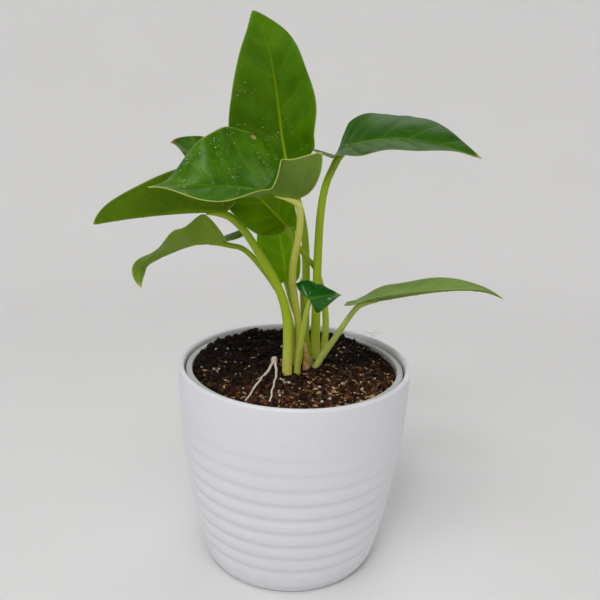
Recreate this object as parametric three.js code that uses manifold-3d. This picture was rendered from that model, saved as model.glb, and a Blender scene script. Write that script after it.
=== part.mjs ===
// A young Philodendron giganteum in a ribbed white planter. Millimetres, +Z up.
// The origin is the centre of the planter's flat underside, and the plant's front faces -Y.
import * as THREE from "three";
import { mergeVertices } from "three/addons/utils/BufferGeometryUtils.js";
import Module from "manifold-3d";

const wasm = await Module();
wasm.setup();

// Driving dimensions
const FIT_GAP = 0.3; // between pieces that touch
const PLANTER_RIM_RADIUS = 65;
const PLANTER_FOOT_RADIUS = 50;
const PLANTER_HEIGHT = 117.5;
const PLANTER_BELLY = 2.1; // how quickly the side swells out above the foot
const PLANTER_WALL = 3;
const PLANTER_FLOOR = 3;
const FOOT_HEIGHT = 4.6;
const GROOVE_FIRST = 17.5;
const GROOVE_PITCH = 9;
const GROOVE_COUNT = 11;
const GROOVE_HALF_WIDTH = 0.9;
const GROOVE_DEPTH = 0.5;

const LINER_BASE_RADIUS = 44;
const LINER_TOP_RADIUS = 58.7;
const LINER_FLANGE_RADIUS = 61.2;
const LINER_TOP = 115;
const LINER_WALL = 1.2;
const LINER_FLANGE = 1.8;

const SOIL_LEVEL = 112;
const SOIL_RINGS = 7;
const STALK_FOOT = 106; // how far down the leaf stalks reach in the soil
const CROWN = { x: 4.5, y: 4, foot: -12 }; // the stem between the stalk feet, from the soil's level

const BLADE_THICKNESS = 0.8;
const RIB_DEPTH = 1.4; // how far the midrib stands out of the underside at the stalk
const RIB_HALF_WIDTH = 0.06; // as a share of the blade's half width
const RIB_FADE = 0.85; // the share of that depth lost towards the tip
const WAVE_OFFSET = 0.9; // how far the two margins are out of step, in radians
const STALK_SIDES = 8;
const STALK_STEPS = 8;
const NECK_LENGTH = 3.5; // the top of each stalk, which is one with its blade
const POT_SEGMENTS = 32;
const CROWN_SEGMENTS = 16;
const SLIVER = 0.06; // edges shorter than this, where pieces are joined, are closed up

// Half a heart-shaped blade, from the lobe beside the stalk to the tip: the place along the midrib,
// the place across, and where the side vein to that point leaves the midrib, as shares of the
// blade's length and half width.
const HALF_OUTLINE = [
  [-0.11, 0.17, 0],
  [-0.165, 0.4, 0],
  [-0.12, 0.68, 0],
  [0.02, 0.92, 0.02],
  [0.2, 1, 0.08],
  [0.4, 0.93, 0.22],
  [0.59, 0.72, 0.4],
  [0.76, 0.45, 0.6],
  [0.9, 0.18, 0.8],
  [1, 0, 1],
];
const STATIONS = [-0.2, 0.25, 0.6, 1]; // places along the midrib where fold and curl are given
const VEIN_SWEEP = 1.15;
const LOBE_END = 0.2;

// Each leaf's midrib is a cubic curve from the stalk to the tip. Its face is the way the upper side
// looks, at the stalk, midway and at the tip. Each half then has a width, folds up from the midrib
// by fold degrees and bends by a further curl degrees out to its margin.
const LEAVES = {
  upright: {
    midrib: [[-6, 18, 219], [-15, 30, 241], [-13, 7, 284], [-28, 12, 302]],
    face: [[0.1, -1, 0.05], [0.15, -1, 0.1], [0, -1, 0.25]],
    left: { width: 30, fold: [0, 5, 5, 0], curl: [10, 10, 10, 10], taper: 0.8, lift: 30 },
    right: {
      width: 24,
      fold: [35, 35, 15, -40],
      curl: [55, 40, 25, 0],
      taper: 0.65,
      full: [1, 1.15, 0.95, 0.95],
      lift: 30,
    },
    wave: [0.8, 2, 0.5],
    stalk: [[5, 9, STALK_FOOT], [5, 10, 141], [3, 15, 187], [-6, 18, 219]],
    stalkRadius: [2.8, 1.9],
  },
  front: {
    midrib: [[0, -30, 214], [-26, -44, 221], [-43, -56, 223], [-69, -55, 220]],
    face: [[-0.1, -0.2, 1], [0.1, -0.1, 1], [0, -0.3, 1.1]],
    left: {
      width: 30,
      stations: [-0.2, 0.2, 0.36, 0.6, 1],
      fold: [45, 40, -20, -20, 20],
      curl: [60, 90, 80, 45, -10],
      taper: 1.05,
      full: [1.3, 0.65, 0.95, 1.1, 1],
      lobe: 0.2,
      lift: -30,
    },
    right: {
      width: 36,
      fold: [5, 25, 50, -15],
      curl: [10, 15, -5, 5],
      taper: 0.85,
      full: [0.9, 1.15, 0.95, 1.1],
      lift: 20,
    },
    wave: [1, 2, 0.5],
    rows: 20,
    columns: 7,
    stalk: [[1.5, 1, STALK_FOOT], [2, -6, 135], [-3, -13, 170], [0, -22, 196], [0, -30, 214]],
    stalkRadius: [2.3, 1.7],
  },
  left: {
    midrib: [[-36, -20, 205], [-56, -18, 205], [-88, -35, 202], [-102, -29, 197]],
    face: [[0, 0.1, 1], [0, 0.1, 1], [-0.3, 0.1, 1]],
    left: {
      width: 27,
      fold: [45, 55, 50, 55],
      curl: [10, 10, 10, 0],
      full: [1, 1, 0.95, 1.1],
      lobe: 0.5,
      lift: 10,
    },
    right: { width: 18, fold: [60, 50, 40, 35], curl: [0, 0, 0, 0], taper: 0.75, lobe: 0.3 },
    wave: [0.6, 2, 0.5],
    stalk: [[-4, -8, STALK_FOOT], [-6, -13, 152], [-22, -20, 186], [-36, -20, 205]],
    stalkRadius: [2.9, 1.9],
  },
  back: {
    midrib: [[-7, -5, 195], [-20, 3, 208], [-51, 6, 233], [-70, 10, 235]],
    face: [[0.35, -1, 0.65], [0.3, -0.7, 1], [-0.3, -0.2, 1]],
    left: { width: 17, fold: [30, -5, -15, 20], curl: [5, -10, 0, 5], taper: 0.55, lobe: 0.2 },
    right: { width: 15, fold: [90, 50, 45, 20], curl: [5, 15, 10, 5], taper: 0.45, lobe: 0.6 },
    wave: [0.6, 2, 0.5],
    stalk: [[16, 14, STALK_FOOT], [17, 14, 139], [11, 11.5, 166], [3, 3, 178], [-7, -5, 195]],
    stalkRadius: [2.2, 1.3],
  },
  drooping: {
    midrib: [[-39, -2, 185], [-51, 5, 183], [-91, -12, 185], [-81, -21, 163]],
    face: [[0.1, 0.1, 1], [-0.3, 0.1, 1], [-0.3, 1, 0.2]],
    faceStations: [0, 0.55, 1],
    left: {
      width: 21,
      stations: [-0.2, 0.2, 0.45, 1],
      fold: [60, 40, 10, -35],
      curl: [20, 25, 35, -5],
      taper: 0.8,
      full: [1.1, 1, 1.05, 0.95],
      lobe: 0.4,
      slant: 0.2,
    },
    right: { width: 12, fold: [50, 0, -20, 35], curl: [0, -15, -25, 10], taper: 0.8 },
    wave: [0.6, 2, 0.5],
    stalk: [[-1.5, 6, STALK_FOOT], [-5, 5, 145], [-25, 2, 176], [-39, -2, 185]],
    stalkRadius: [2.2, 1.4],
  },
  hidden: {
    midrib: [[-7, 22, 158], [-9, 32, 176], [-14, 31, 195], [-23, 34, 217]],
    face: [[0.1, -1, 0.1], [0.1, -1, 0.2], [0.1, -1, 0.4]],
    left: { width: 16, fold: [40, 15, 10, 10], curl: [10, 10, 10, 10], lobe: 0.3 },
    right: { width: 11, fold: [40, 20, 15, 10], curl: [20, 20, 10, 10], lobe: 0.3 },
    wave: [0.5, 2, 0.5],
    stalk: [[2, 15, STALK_FOOT], [2, 17, 131], [-3, 20, 145], [-7, 22, 158]],
    stalkRadius: [2.2, 1.4],
  },
  right: {
    midrib: [[17, 4, 232], [30, 3, 244], [61, -4, 245], [91, -10, 234]],
    face: [[0, 0, 1], [0.1, -0.2, 1], [0.3, -0.3, 1]],
    faceStations: [0, 0.35, 1],
    left: {
      width: 28,
      stations: [-0.2, 0.2, 0.6, 1],
      fold: [-20, 15, 35, 15],
      curl: [10, 10, -50, 15],
      taper: 0.8,
      full: [0.95, 1.1, 1.25, 0.95],
      lobe: 0.1,
      slant: 0.2,
    },
    right: { width: 22, fold: [-5, 0, -10, 15], curl: [10, -5, 15, -5], lift: 60 },
    wave: [0.8, 2, 0.5],
    stalk: [[12, 9, STALK_FOOT], [11, 6, 141], [11, 4, 202], [17, 4, 232]],
    stalkRadius: [3.1, 1.9],
  },
  low: {
    midrib: [[34, -4, 155], [52, -6, 157], [93, -14, 174], [109, -16, 162]],
    face: [[0, 0.27, 1], [0, 0.27, 1], [0.2, 0.27, 1]],
    left: { width: 21, fold: [-10, 20, 25, 20], curl: [0, 0, 0, 0], lobe: 0.6 },
    right: { width: 20, fold: [-15, 0, 0, 5], curl: [10, 10, 0, 0], lobe: 0.6 },
    wave: [0.4, 2, 0.5],
    stalk: [[9, 0, STALK_FOOT], [14, 0, 118], [23, -2, 134], [34, -4, 155]],
    stalkRadius: [2.5, 1.5],
  },
  young: {
    midrib: [[6, -24, 161], [7, -25, 163], [19, -30, 165], [23, -28, 165]],
    face: [[-0.1, -0.9, 0.6], [0, -0.9, 0.6], [0.3, -0.9, 0.4]],
    left: {
      width: 12,
      fold: [15, -25, -25, 0],
      curl: [-10, -20, -20, 0],
      taper: 1.8,
      full: [1.15, 0.9, 0.85, 1],
      lobe: 0.3,
    },
    right: {
      width: 9,
      fold: [-5, -15, -5, -5],
      curl: [-30, -30, -20, 0],
      taper: 1.8,
      full: [0.85, 0.95, 1.05, 1.05],
      lobe: 0.1,
    },
    wave: [0.2, 2, 0.5],
    rows: 12,
    columns: 4,
    ribDepth: 0.6,
    stalk: [[1.8, -6.5, STALK_FOOT], [1.7, -9.5, 119], [4.3, -18, 145], [6, -24, 161]],
    stalkRadius: [2.2, 1.3],
  },
};

const COLOURS = {
  planter: 0xd6d5da,
  liner: 0xc9cacd,
  soil: 0x2e241d,
  blade: 0x3c6e14,
  stalk: 0x8fa63a,
  crown: 0x9fb25a,
  husk: 0xb98a58,
  sheath: 0x7f9a2c,
  root: 0xe0dccb,
};

const vector = (p) => new THREE.Vector3(p[0], p[1], p[2]);
const mix = THREE.MathUtils.lerp;

function easedAt(stations, values, place) {
  let i = 0;
  while (i < stations.length - 2 && place >= stations[i + 1]) i += 1;
  const share = THREE.MathUtils.smoothstep(place, stations[i], stations[i + 1]);
  return mix(values[i], values[i + 1], share);
}

// A closed geometry becomes a solid once its doubled corners are merged.
function solid(geometry) {
  const bare = new THREE.BufferGeometry();
  bare.setAttribute("position", geometry.getAttribute("position"));
  bare.setIndex(geometry.index);
  const merged = mergeVertices(bare, 1e-4);
  const corners = merged.index.array;
  const kept = [];
  for (let i = 0; i < corners.length; i += 3) {
    const [a, b, c] = [corners[i], corners[i + 1], corners[i + 2]];
    if (a !== b && b !== c && c !== a) kept.push(a, b, c);
  }
  const vertProperties = new Float32Array(merged.getAttribute("position").array);
  const triVerts = new Uint32Array(kept);
  return new wasm.Manifold(new wasm.Mesh({ numProp: 3, vertProperties, triVerts }));
}

function largest(body) {
  return body.decompose().sort((a, b) => b.volume() - a.volume())[0];
}

function meshOf(name, body, colour, roughness) {
  const result = body.getMesh();
  const geometry = new THREE.BufferGeometry();
  geometry.setAttribute("position", new THREE.BufferAttribute(result.vertProperties, 3));
  geometry.setIndex(new THREE.BufferAttribute(result.triVerts, 1));
  geometry.computeVertexNormals();
  const material = new THREE.MeshStandardMaterial({ color: colour, roughness, metalness: 0 });
  const mesh = new THREE.Mesh(geometry, material);
  mesh.name = name;
  return mesh;
}

// A round profile is turned about Z: its points are [radius, height].
function turned(profile, segments) {
  const outline = profile.map(([radius, height]) => new THREE.Vector2(radius, height));
  return new THREE.LatheGeometry(outline, segments).rotateX(Math.PI / 2);
}

// A cylinder is bent along a stretch of a curve. Its radius is given by the share of the way along,
// and flat is its thickness as a share of its width.
function bentRod(curve, radiusAt, sides, steps, from = 0, to = 1, flat = 1) {
  const rod = new THREE.CylinderGeometry(1, 1, 1, sides, steps);
  const position = rod.getAttribute("position");
  for (let i = 0; i < position.count; i += 1) {
    const share = mix(from, to, position.getY(i) + 0.5);
    const centre = curve.getPoint(share);
    const ahead = curve.getTangent(share);
    const side = new THREE.Vector3(0, 1, 0).cross(ahead).normalize();
    const up = ahead.clone().cross(side);
    const radius = radiusAt(share);
    centre.addScaledVector(side, position.getX(i) * radius);
    centre.addScaledVector(up, -position.getZ(i) * radius * flat);
    position.setXYZ(i, centre.x, centre.y, centre.z);
  }
  return rod;
}

function midribFrame(leaf, share) {
  const [p0, p1, p2, p3] = leaf.midrib.map(vector);
  const curve = new THREE.CubicBezierCurve3(p0, p1, p2, p3);
  const rest = 1 - share;
  const ahead = p1.clone().sub(p0).multiplyScalar(rest * rest);
  ahead.addScaledVector(p2.clone().sub(p1), 2 * rest * share);
  ahead.addScaledVector(p3.clone().sub(p2), share * share).normalize();
  const stations = leaf.faceStations ?? [0, 0.5, 1];
  const face = new THREE.Vector3();
  face.x = easedAt(stations, leaf.face.map((f) => f[0]), share);
  face.y = easedAt(stations, leaf.face.map((f) => f[1]), share);
  face.z = easedAt(stations, leaf.face.map((f) => f[2]), share);
  face.addScaledVector(ahead, -face.dot(ahead)).normalize();
  const across = ahead.clone().cross(face);
  return { point: curve.getPoint(share), ahead, face, across, length: curve.getLength() };
}

const outlineCurve = new THREE.CatmullRomCurve3(HALF_OUTLINE.map(vector), false, "catmullrom", 0.5);

// A point of the blade's middle sheet: around runs along the half outline from lobe to tip, and
// outward runs from the midrib to the margin.
function bladePoint(leaf, side, around, outward) {
  const half = side < 0 ? leaf.left : leaf.right;
  const edge = outlineCurve.getPoint(around);
  let along = edge.x < 0 ? edge.x * (half.lobe ?? 1) : edge.x;
  let across = along > LOBE_END ? Math.max(edge.y, 0) ** (half.taper ?? 1) : edge.y;
  const stations = half.stations ?? STATIONS;
  if (half.full) across *= easedAt(stations, half.full, along);
  along += (half.slant ?? 0) * across * (1 - along) ** 2;
  const place = edge.z + (along - edge.z) * outward ** VEIN_SWEEP;
  const out = across * outward;

  const fold = THREE.MathUtils.degToRad(easedAt(stations, half.fold, place));
  const curl = THREE.MathUtils.degToRad(easedAt(stations, half.curl, place)) || 1e-4;
  const sideways = ((Math.sin(fold + curl * out) - Math.sin(fold)) / curl) * half.width;
  let upward = ((Math.cos(fold) - Math.cos(fold + curl * out)) / curl) * half.width;
  const [height, count, phase] = leaf.wave;
  const offset = side > 0 ? WAVE_OFFSET : 0;
  upward += height * Math.sin(2 * Math.PI * count * place + phase + offset) * out * out;

  const frame = midribFrame(leaf, THREE.MathUtils.clamp(place, 0, 1));
  const back = Math.min(place, 0) * frame.length;
  const lift = THREE.MathUtils.degToRad(half.lift ?? 0);
  const point = frame.point;
  point.addScaledVector(frame.ahead, back * Math.cos(lift));
  point.addScaledVector(frame.face, -back * Math.sin(lift) + upward);
  point.addScaledVector(frame.across, side * sideways);
  return point;
}

// The middle sheet of a blade, with the depth of its rib along the midrib. The first column on
// each side is narrow, so that the rib is.
function bladeSheet(leaf) {
  const columns = leaf.columns ?? 5;
  const rows = leaf.rows ?? 14;
  const sheet = new THREE.PlaneGeometry(2, 1, 2 * columns, rows);
  const position = sheet.getAttribute("position");
  const rib = new Float32Array(position.count);
  const depth = leaf.ribDepth ?? RIB_DEPTH;
  for (let i = 0; i < position.count; i += 1) {
    const column = Math.round(Math.abs(position.getX(i)) * columns);
    const around = position.getY(i) + 0.5;
    const side = position.getX(i) < 0 ? -1 : 1;
    const outward = column === 0 ? 0 : mix(RIB_HALF_WIDTH, 1, (column - 1) / (columns - 1));
    const point = bladePoint(leaf, side, around, outward);
    position.setXYZ(i, point.x, point.y, point.z);
    const fade = 1 - RIB_FADE * outlineCurve.getPoint(around).z;
    rib[i] = column === 0 ? depth * fade : 0;
  }
  sheet.setAttribute("rib", new THREE.BufferAttribute(rib, 1));
  return sheet;
}

// A sheet is given a thickness: it is moved both ways along its normals, further at the rib, and
// its edge is walled.
function thickened(sheet, thickness) {
  const bare = new THREE.BufferGeometry();
  bare.setAttribute("position", sheet.getAttribute("position"));
  bare.setAttribute("rib", sheet.getAttribute("rib"));
  bare.setIndex(sheet.index);
  const merged = mergeVertices(bare, 1e-3);
  merged.computeVertexNormals();
  const position = merged.getAttribute("position");
  const normal = merged.getAttribute("normal");
  const rib = merged.getAttribute("rib");
  const corners = merged.index.array;
  const count = position.count;
  const points = new Float32Array(count * 6);
  for (let i = 0; i < count; i += 1) {
    for (let axis = 0; axis < 3; axis += 1) {
      const middle = position.getComponent(i, axis);
      const away = normal.getComponent(i, axis);
      points[i * 3 + axis] = middle + (away * thickness) / 2;
      points[(i + count) * 3 + axis] = middle - away * (thickness / 2 + rib.getX(i));
    }
  }
  const triangles = [];
  const edges = new Map();
  for (let i = 0; i < corners.length; i += 3) {
    const ring = [corners[i], corners[i + 1], corners[i + 2]];
    if (new Set(ring).size < 3) continue;
    const [a, b, c] = ring;
    triangles.push(a, b, c, c + count, b + count, a + count);
    for (const [from, to] of [[a, b], [b, c], [c, a]]) {
      if (!edges.delete(`${to},${from}`)) edges.set(`${from},${to}`, [from, to]);
    }
  }
  for (const [from, to] of edges.values()) {
    triangles.push(to, from, from + count, to, from + count, to + count);
  }
  const geometry = new THREE.BufferGeometry();
  geometry.setAttribute("position", new THREE.BufferAttribute(points, 3));
  geometry.setIndex(triangles);
  return geometry;
}

// A smooth curve up from a foot in the soil, which lies deeper by grow.
function risingCurve(places, grow) {
  const points = places.map(vector);
  points[0].z -= grow;
  return new THREE.CatmullRomCurve3(points, false, "catmullrom", 0.5);
}

function stalkRadius(leaf, share) {
  const [foot, top] = leaf.stalkRadius;
  return top + (foot - top) * (1 - share) ** 1.5;
}

// The blade and the neck where the stalk joins it, grown by a clearance where a neighbour is to
// be cut back from them.
function bladeSolid(leaf, grow) {
  const blade = solid(thickened(bladeSheet(leaf), BLADE_THICKNESS + 2 * grow));
  const curve = risingCurve(leaf.stalk, 0);
  const neckStart = 1 - NECK_LENGTH / curve.getLength();
  const neckRadius = (share) => stalkRadius(leaf, share) + grow;
  const neck = solid(bentRod(curve, neckRadius, STALK_SIDES, 1, neckStart, 1));
  const ball = new THREE.SphereGeometry(neckRadius(1), STALK_SIDES, 4);
  const joint = curve.getPoint(1);
  const whole = blade.add(neck).add(solid(ball.translate(joint.x, joint.y, joint.z)));
  return largest(whole.simplify(SLIVER));
}

function stalkSolid(leaf, grow) {
  const curve = risingCurve(leaf.stalk, grow);
  const to = 1 - (NECK_LENGTH + FIT_GAP - grow) / curve.getLength();
  const radiusAt = (share) => stalkRadius(leaf, share) + grow;
  return solid(bentRod(curve, radiusAt, STALK_SIDES, STALK_STEPS, 0, to));
}

function planterRadius(height) {
  const share = 1 - height / PLANTER_HEIGHT;
  return PLANTER_RIM_RADIUS - (PLANTER_RIM_RADIUS - PLANTER_FOOT_RADIUS) * share ** PLANTER_BELLY;
}

function planterBody() {
  const lip = PLANTER_WALL / 2;
  const lipHeight = PLANTER_HEIGHT - lip;
  const profile = [
    [0, 0],
    [PLANTER_FOOT_RADIUS - 3, 0],
    [PLANTER_FOOT_RADIUS - 1.5, 1],
    [PLANTER_FOOT_RADIUS - 0.8, FOOT_HEIGHT - 0.4],
    [planterRadius(FOOT_HEIGHT), FOOT_HEIGHT],
  ];
  for (let i = 0; i < GROOVE_COUNT; i += 1) {
    const height = GROOVE_FIRST + i * GROOVE_PITCH;
    const depth = GROOVE_DEPTH * (1 - 0.5 * (i / GROOVE_COUNT));
    if (i === 0) profile.push([planterRadius(height / 2), height / 2]);
    profile.push([planterRadius(height - GROOVE_HALF_WIDTH), height - GROOVE_HALF_WIDTH]);
    profile.push([planterRadius(height) - depth, height]);
    profile.push([planterRadius(height + GROOVE_HALF_WIDTH), height + GROOVE_HALF_WIDTH]);
  }
  for (const angle of [0, 45, 90, 135, 180]) {
    const turn = THREE.MathUtils.degToRad(angle);
    const radius = PLANTER_RIM_RADIUS - lip + lip * Math.cos(turn);
    profile.push([radius, lipHeight + lip * Math.sin(turn)]);
  }
  for (const share of [0.75, 0.5, 0.25, 0.06]) {
    const height = share * PLANTER_HEIGHT;
    profile.push([planterRadius(height) - PLANTER_WALL, height]);
  }
  profile.push([PLANTER_FOOT_RADIUS - 2 * PLANTER_WALL, PLANTER_FLOOR]);
  profile.push([0, PLANTER_FLOOR]);
  return solid(turned(profile, POT_SEGMENTS));
}

const LINER_BASE = PLANTER_FLOOR + FIT_GAP;
const LINER_FLANGE_BASE = LINER_TOP - LINER_FLANGE;

function linerRadius(height) {
  const share = (height - LINER_BASE) / (LINER_FLANGE_BASE - LINER_BASE);
  return mix(LINER_BASE_RADIUS, LINER_TOP_RADIUS, share);
}

function linerBody() {
  const inner = LINER_TOP_RADIUS - LINER_WALL;
  const profile = [
    [0, LINER_BASE],
    [LINER_BASE_RADIUS - 1, LINER_BASE],
    [linerRadius(LINER_BASE + 1), LINER_BASE + 1],
    [LINER_TOP_RADIUS, LINER_FLANGE_BASE],
    [LINER_FLANGE_RADIUS - 0.4, LINER_FLANGE_BASE],
    [LINER_FLANGE_RADIUS, LINER_FLANGE_BASE + 0.6],
    [LINER_FLANGE_RADIUS - 0.6, LINER_TOP],
    [inner + 0.5, LINER_TOP],
    [inner, LINER_TOP - 0.6],
    [linerRadius(LINER_BASE + LINER_WALL) - LINER_WALL, LINER_BASE + LINER_WALL],
    [0, LINER_BASE + LINER_WALL],
  ];
  return solid(turned(profile, POT_SEGMENTS));
}

// The soil is heaped around the crown and towards the back left, and level at the liner's wall.
function soilRelief(x, y) {
  const crownHeap = 3.5 * Math.exp(-((x - 9) ** 2 + (y - 12) ** 2) / 16 ** 2);
  const backHeap = 3 * Math.exp(-((x + 26) ** 2 + (y - 28) ** 2) / 22 ** 2);
  const clods = 0.5 * Math.sin(0.35 * x + 1) * Math.cos(0.31 * y) + 0.35 * Math.sin(0.8 * x + 0.5 * y);
  const fade = 1 - (Math.hypot(x, y) / LINER_TOP_RADIUS) ** 6;
  return (crownHeap + backHeap + clods) * fade;
}

function soilBody() {
  const bottom = LINER_BASE + LINER_WALL + FIT_GAP;
  const topRadius = linerRadius(SOIL_LEVEL) - LINER_WALL - FIT_GAP;
  const bottomRadius = linerRadius(bottom) - LINER_WALL - FIT_GAP;
  const profile = [
    [0, bottom],
    [bottomRadius, bottom],
  ];
  for (let ring = SOIL_RINGS; ring > 0; ring -= 1) {
    profile.push([(topRadius * ring) / SOIL_RINGS, SOIL_LEVEL]);
  }
  profile.push([0, SOIL_LEVEL]);
  const geometry = turned(profile, POT_SEGMENTS);
  const position = geometry.getAttribute("position");
  for (let i = 0; i < position.count; i += 1) {
    if (position.getZ(i) < SOIL_LEVEL - 1) continue;
    position.setZ(i, SOIL_LEVEL + soilRelief(position.getX(i), position.getY(i)));
  }
  return solid(geometry);
}

// The short stem between the stalk feet, or the hole that it stands in.
function crownBody(grow) {
  const profile = [
    [0, CROWN.foot - grow],
    [5.5 + grow, CROWN.foot - grow],
    [6.5 + grow, -2],
    [5.5 + grow, 5],
    [3 + grow, 8],
    [0, 9 + grow],
  ];
  return solid(turned(profile, CROWN_SEGMENTS).translate(CROWN.x, CROWN.y, SOIL_LEVEL));
}

// The narrow scales at the crown: a dry husk and the green sheath of the youngest leaf. Each is a
// flattened rod that tapers to its tip.
const SCALES = {
  husk: {
    spine: [[6.3, -6.6, STALK_FOOT], [6.3, -6.8, 114], [6, -6.6, 123], [5.2, -6.2, 131]],
    halfWidth: 1.9,
    halfThickness: 0.5,
  },
  sheath: {
    spine: [[5.9, -3.2, STALK_FOOT], [6.4, -2.7, 126], [3.6, -3, 148], [1.6, -5.5, 168]],
    halfWidth: 2.1,
    halfThickness: 0.6,
  },
};

function scaleBody({ spine, halfWidth, halfThickness }, grow) {
  const curve = risingCurve(spine, grow);
  const flat = (halfThickness + grow) / (halfWidth + grow);
  const radiusAt = (share) => halfWidth * (1 - 0.7 * share ** 2) + grow;
  return solid(bentRod(curve, radiusAt, STALK_SIDES, STALK_STEPS, 0, 1, flat));
}

// A pale root tip that stands out of the soil, with two strands that run down over the surface.
const ROOT = {
  tip: [-11.9, 4.8],
  tipRadius: 1.9,
  strandRadius: 0.6,
  strands: [
    [[-12, 4], [-16, -12], [-21, -30], [-24, -46]],
    [[-11.5, 4], [-10, -10], [-11, -28], [-12, -45]],
  ],
};

function onSoil([x, y], above) {
  return new THREE.Vector3(x, y, SOIL_LEVEL + soilRelief(x, y) + above);
}

function rootBody(grow) {
  const tip = new THREE.SphereGeometry(ROOT.tipRadius + grow, 10, 8);
  tip.scale(1, 1, 1.3);
  const seat = onSoil(ROOT.tip, ROOT.tipRadius);
  let body = solid(tip.translate(seat.x, seat.y, seat.z));
  for (const strand of ROOT.strands) {
    const points = strand.map((place, i) => onSoil(place, i < strand.length - 1 ? 0.2 : 1.2));
    const curve = new THREE.CatmullRomCurve3(points, false, "catmullrom", 0.5);
    const radiusAt = (share) => ROOT.strandRadius * (1.3 - 0.5 * share) + grow;
    body = body.add(solid(bentRod(curve, radiusAt, 6, 8)));
  }
  return body;
}

const plant = new THREE.Group();
plant.add(meshOf("planter", planterBody(), COLOURS.planter, 0.5));
plant.add(meshOf("liner", linerBody(), COLOURS.liner, 0.5));

let soil = soilBody();
let crown = crownBody(0);
for (const [name, leaf] of Object.entries(LEAVES)) {
  const blade = bladeSolid(leaf, 0);
  const stalk = largest(stalkSolid(leaf, 0).subtract(bladeSolid(leaf, FIT_GAP)));
  const clearance = stalkSolid(leaf, FIT_GAP);
  soil = soil.subtract(clearance);
  crown = crown.subtract(clearance);
  plant.add(meshOf(`${name}_blade`, blade, COLOURS.blade, 0.35));
  plant.add(meshOf(`${name}_stalk`, stalk, COLOURS.stalk, 0.45));
}
for (const [name, scale] of Object.entries(SCALES)) {
  const clearance = scaleBody(scale, FIT_GAP);
  soil = soil.subtract(clearance);
  crown = crown.subtract(clearance);
  plant.add(meshOf(name, scaleBody(scale, 0), COLOURS[name], 0.6));
}
soil = largest(soil.subtract(crownBody(FIT_GAP)).subtract(rootBody(FIT_GAP)));
plant.add(meshOf("crown", largest(crown), COLOURS.crown, 0.6));
plant.add(meshOf("surface_root", rootBody(0), COLOURS.root, 0.6));
plant.add(meshOf("soil", soil, COLOURS.soil, 0.9));

export default plant;
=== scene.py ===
# %% [markdown]
# A young Philodendron giganteum in a ribbed white planter. The packed CAD model gives every piece its
# place and its real size. This lesson dresses it: each leaf, stalk and pot wall is modelled again with
# the fine shape that the plain solids leave out, and gets a finish made of shader nodes.
# The frame is in metres with Z up, and the plant's front looks towards -Y.

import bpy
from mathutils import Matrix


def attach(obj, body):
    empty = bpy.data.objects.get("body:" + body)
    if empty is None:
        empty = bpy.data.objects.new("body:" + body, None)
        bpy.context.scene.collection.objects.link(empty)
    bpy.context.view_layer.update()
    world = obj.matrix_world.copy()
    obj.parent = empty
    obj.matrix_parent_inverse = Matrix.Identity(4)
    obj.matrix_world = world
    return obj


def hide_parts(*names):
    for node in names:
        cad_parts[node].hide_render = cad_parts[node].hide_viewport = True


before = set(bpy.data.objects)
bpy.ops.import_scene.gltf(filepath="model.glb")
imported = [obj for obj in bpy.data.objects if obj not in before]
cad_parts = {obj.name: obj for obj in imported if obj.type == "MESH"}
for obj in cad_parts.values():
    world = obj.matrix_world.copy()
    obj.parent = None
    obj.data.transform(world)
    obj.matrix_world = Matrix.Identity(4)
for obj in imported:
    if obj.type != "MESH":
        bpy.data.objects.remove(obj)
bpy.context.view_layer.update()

# %% [markdown]
# Whole grids of points are worked out at once with numpy, which keeps mesh code short and fast. The sizes
# are in millimetres, as on a workshop drawing, and only the last step to a mesh turns them into metres.
# All that is scattered is drawn from one seeded generator, so that each run makes the same plant.

import bmesh
import bpy
import numpy as np
from mathutils import Matrix, Vector, noise
from mathutils.kdtree import KDTree

MM = 0.001
SEED = 11
chance = np.random.default_rng(SEED)
print("one millimetre is", MM, "of Blender's units, and the seed is", SEED)

# %% [markdown]
# The camera stands where the picture was taken from. It could be placed by eye, but its place and its
# three directions were worked out from the ellipses of the planter's rim and foot, so that the pot and
# each leaf fall on the same spot of the picture. A camera looks along its own -Z, so the third column of
# its matrix is the reverse of the view.

# %% Camera
CAMERA_PLACE = (0, -370.4, 264.9)
CAMERA_RIGHT = Vector((0.99935, 0.00629, 0.03549))
CAMERA_AHEAD = Vector((0.00424, 0.95731, -0.28903))
LENS, SENSOR = 42, 36

camera_data = bpy.data.cameras.new("camera")
camera_data.lens = LENS
camera_data.sensor_width = SENSOR
camera_data.clip_start = 0.01
camera = bpy.data.objects.new("camera", camera_data)
camera_up = CAMERA_RIGHT.cross(CAMERA_AHEAD)
turn = Matrix((CAMERA_RIGHT, camera_up, -CAMERA_AHEAD)).transposed()
camera.matrix_world = Matrix.Translation(Vector(CAMERA_PLACE) * MM) @ turn.to_4x4()
bpy.context.scene.collection.objects.link(camera)
bpy.context.scene.camera = camera
print("camera", [round(c, 4) for c in camera.location])

# %% [markdown]
# A finish is a network of shader nodes. Networks are easier to read as sums, so the class Value wraps a
# node's output and lets Python's operators add the Math nodes: 1 - mask is one node. Every other node
# comes from Finish.node, which takes the node's type, its settings and what goes into its sockets.
# Colours are mixed with Mix nodes, because a Math node would turn them grey.

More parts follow.
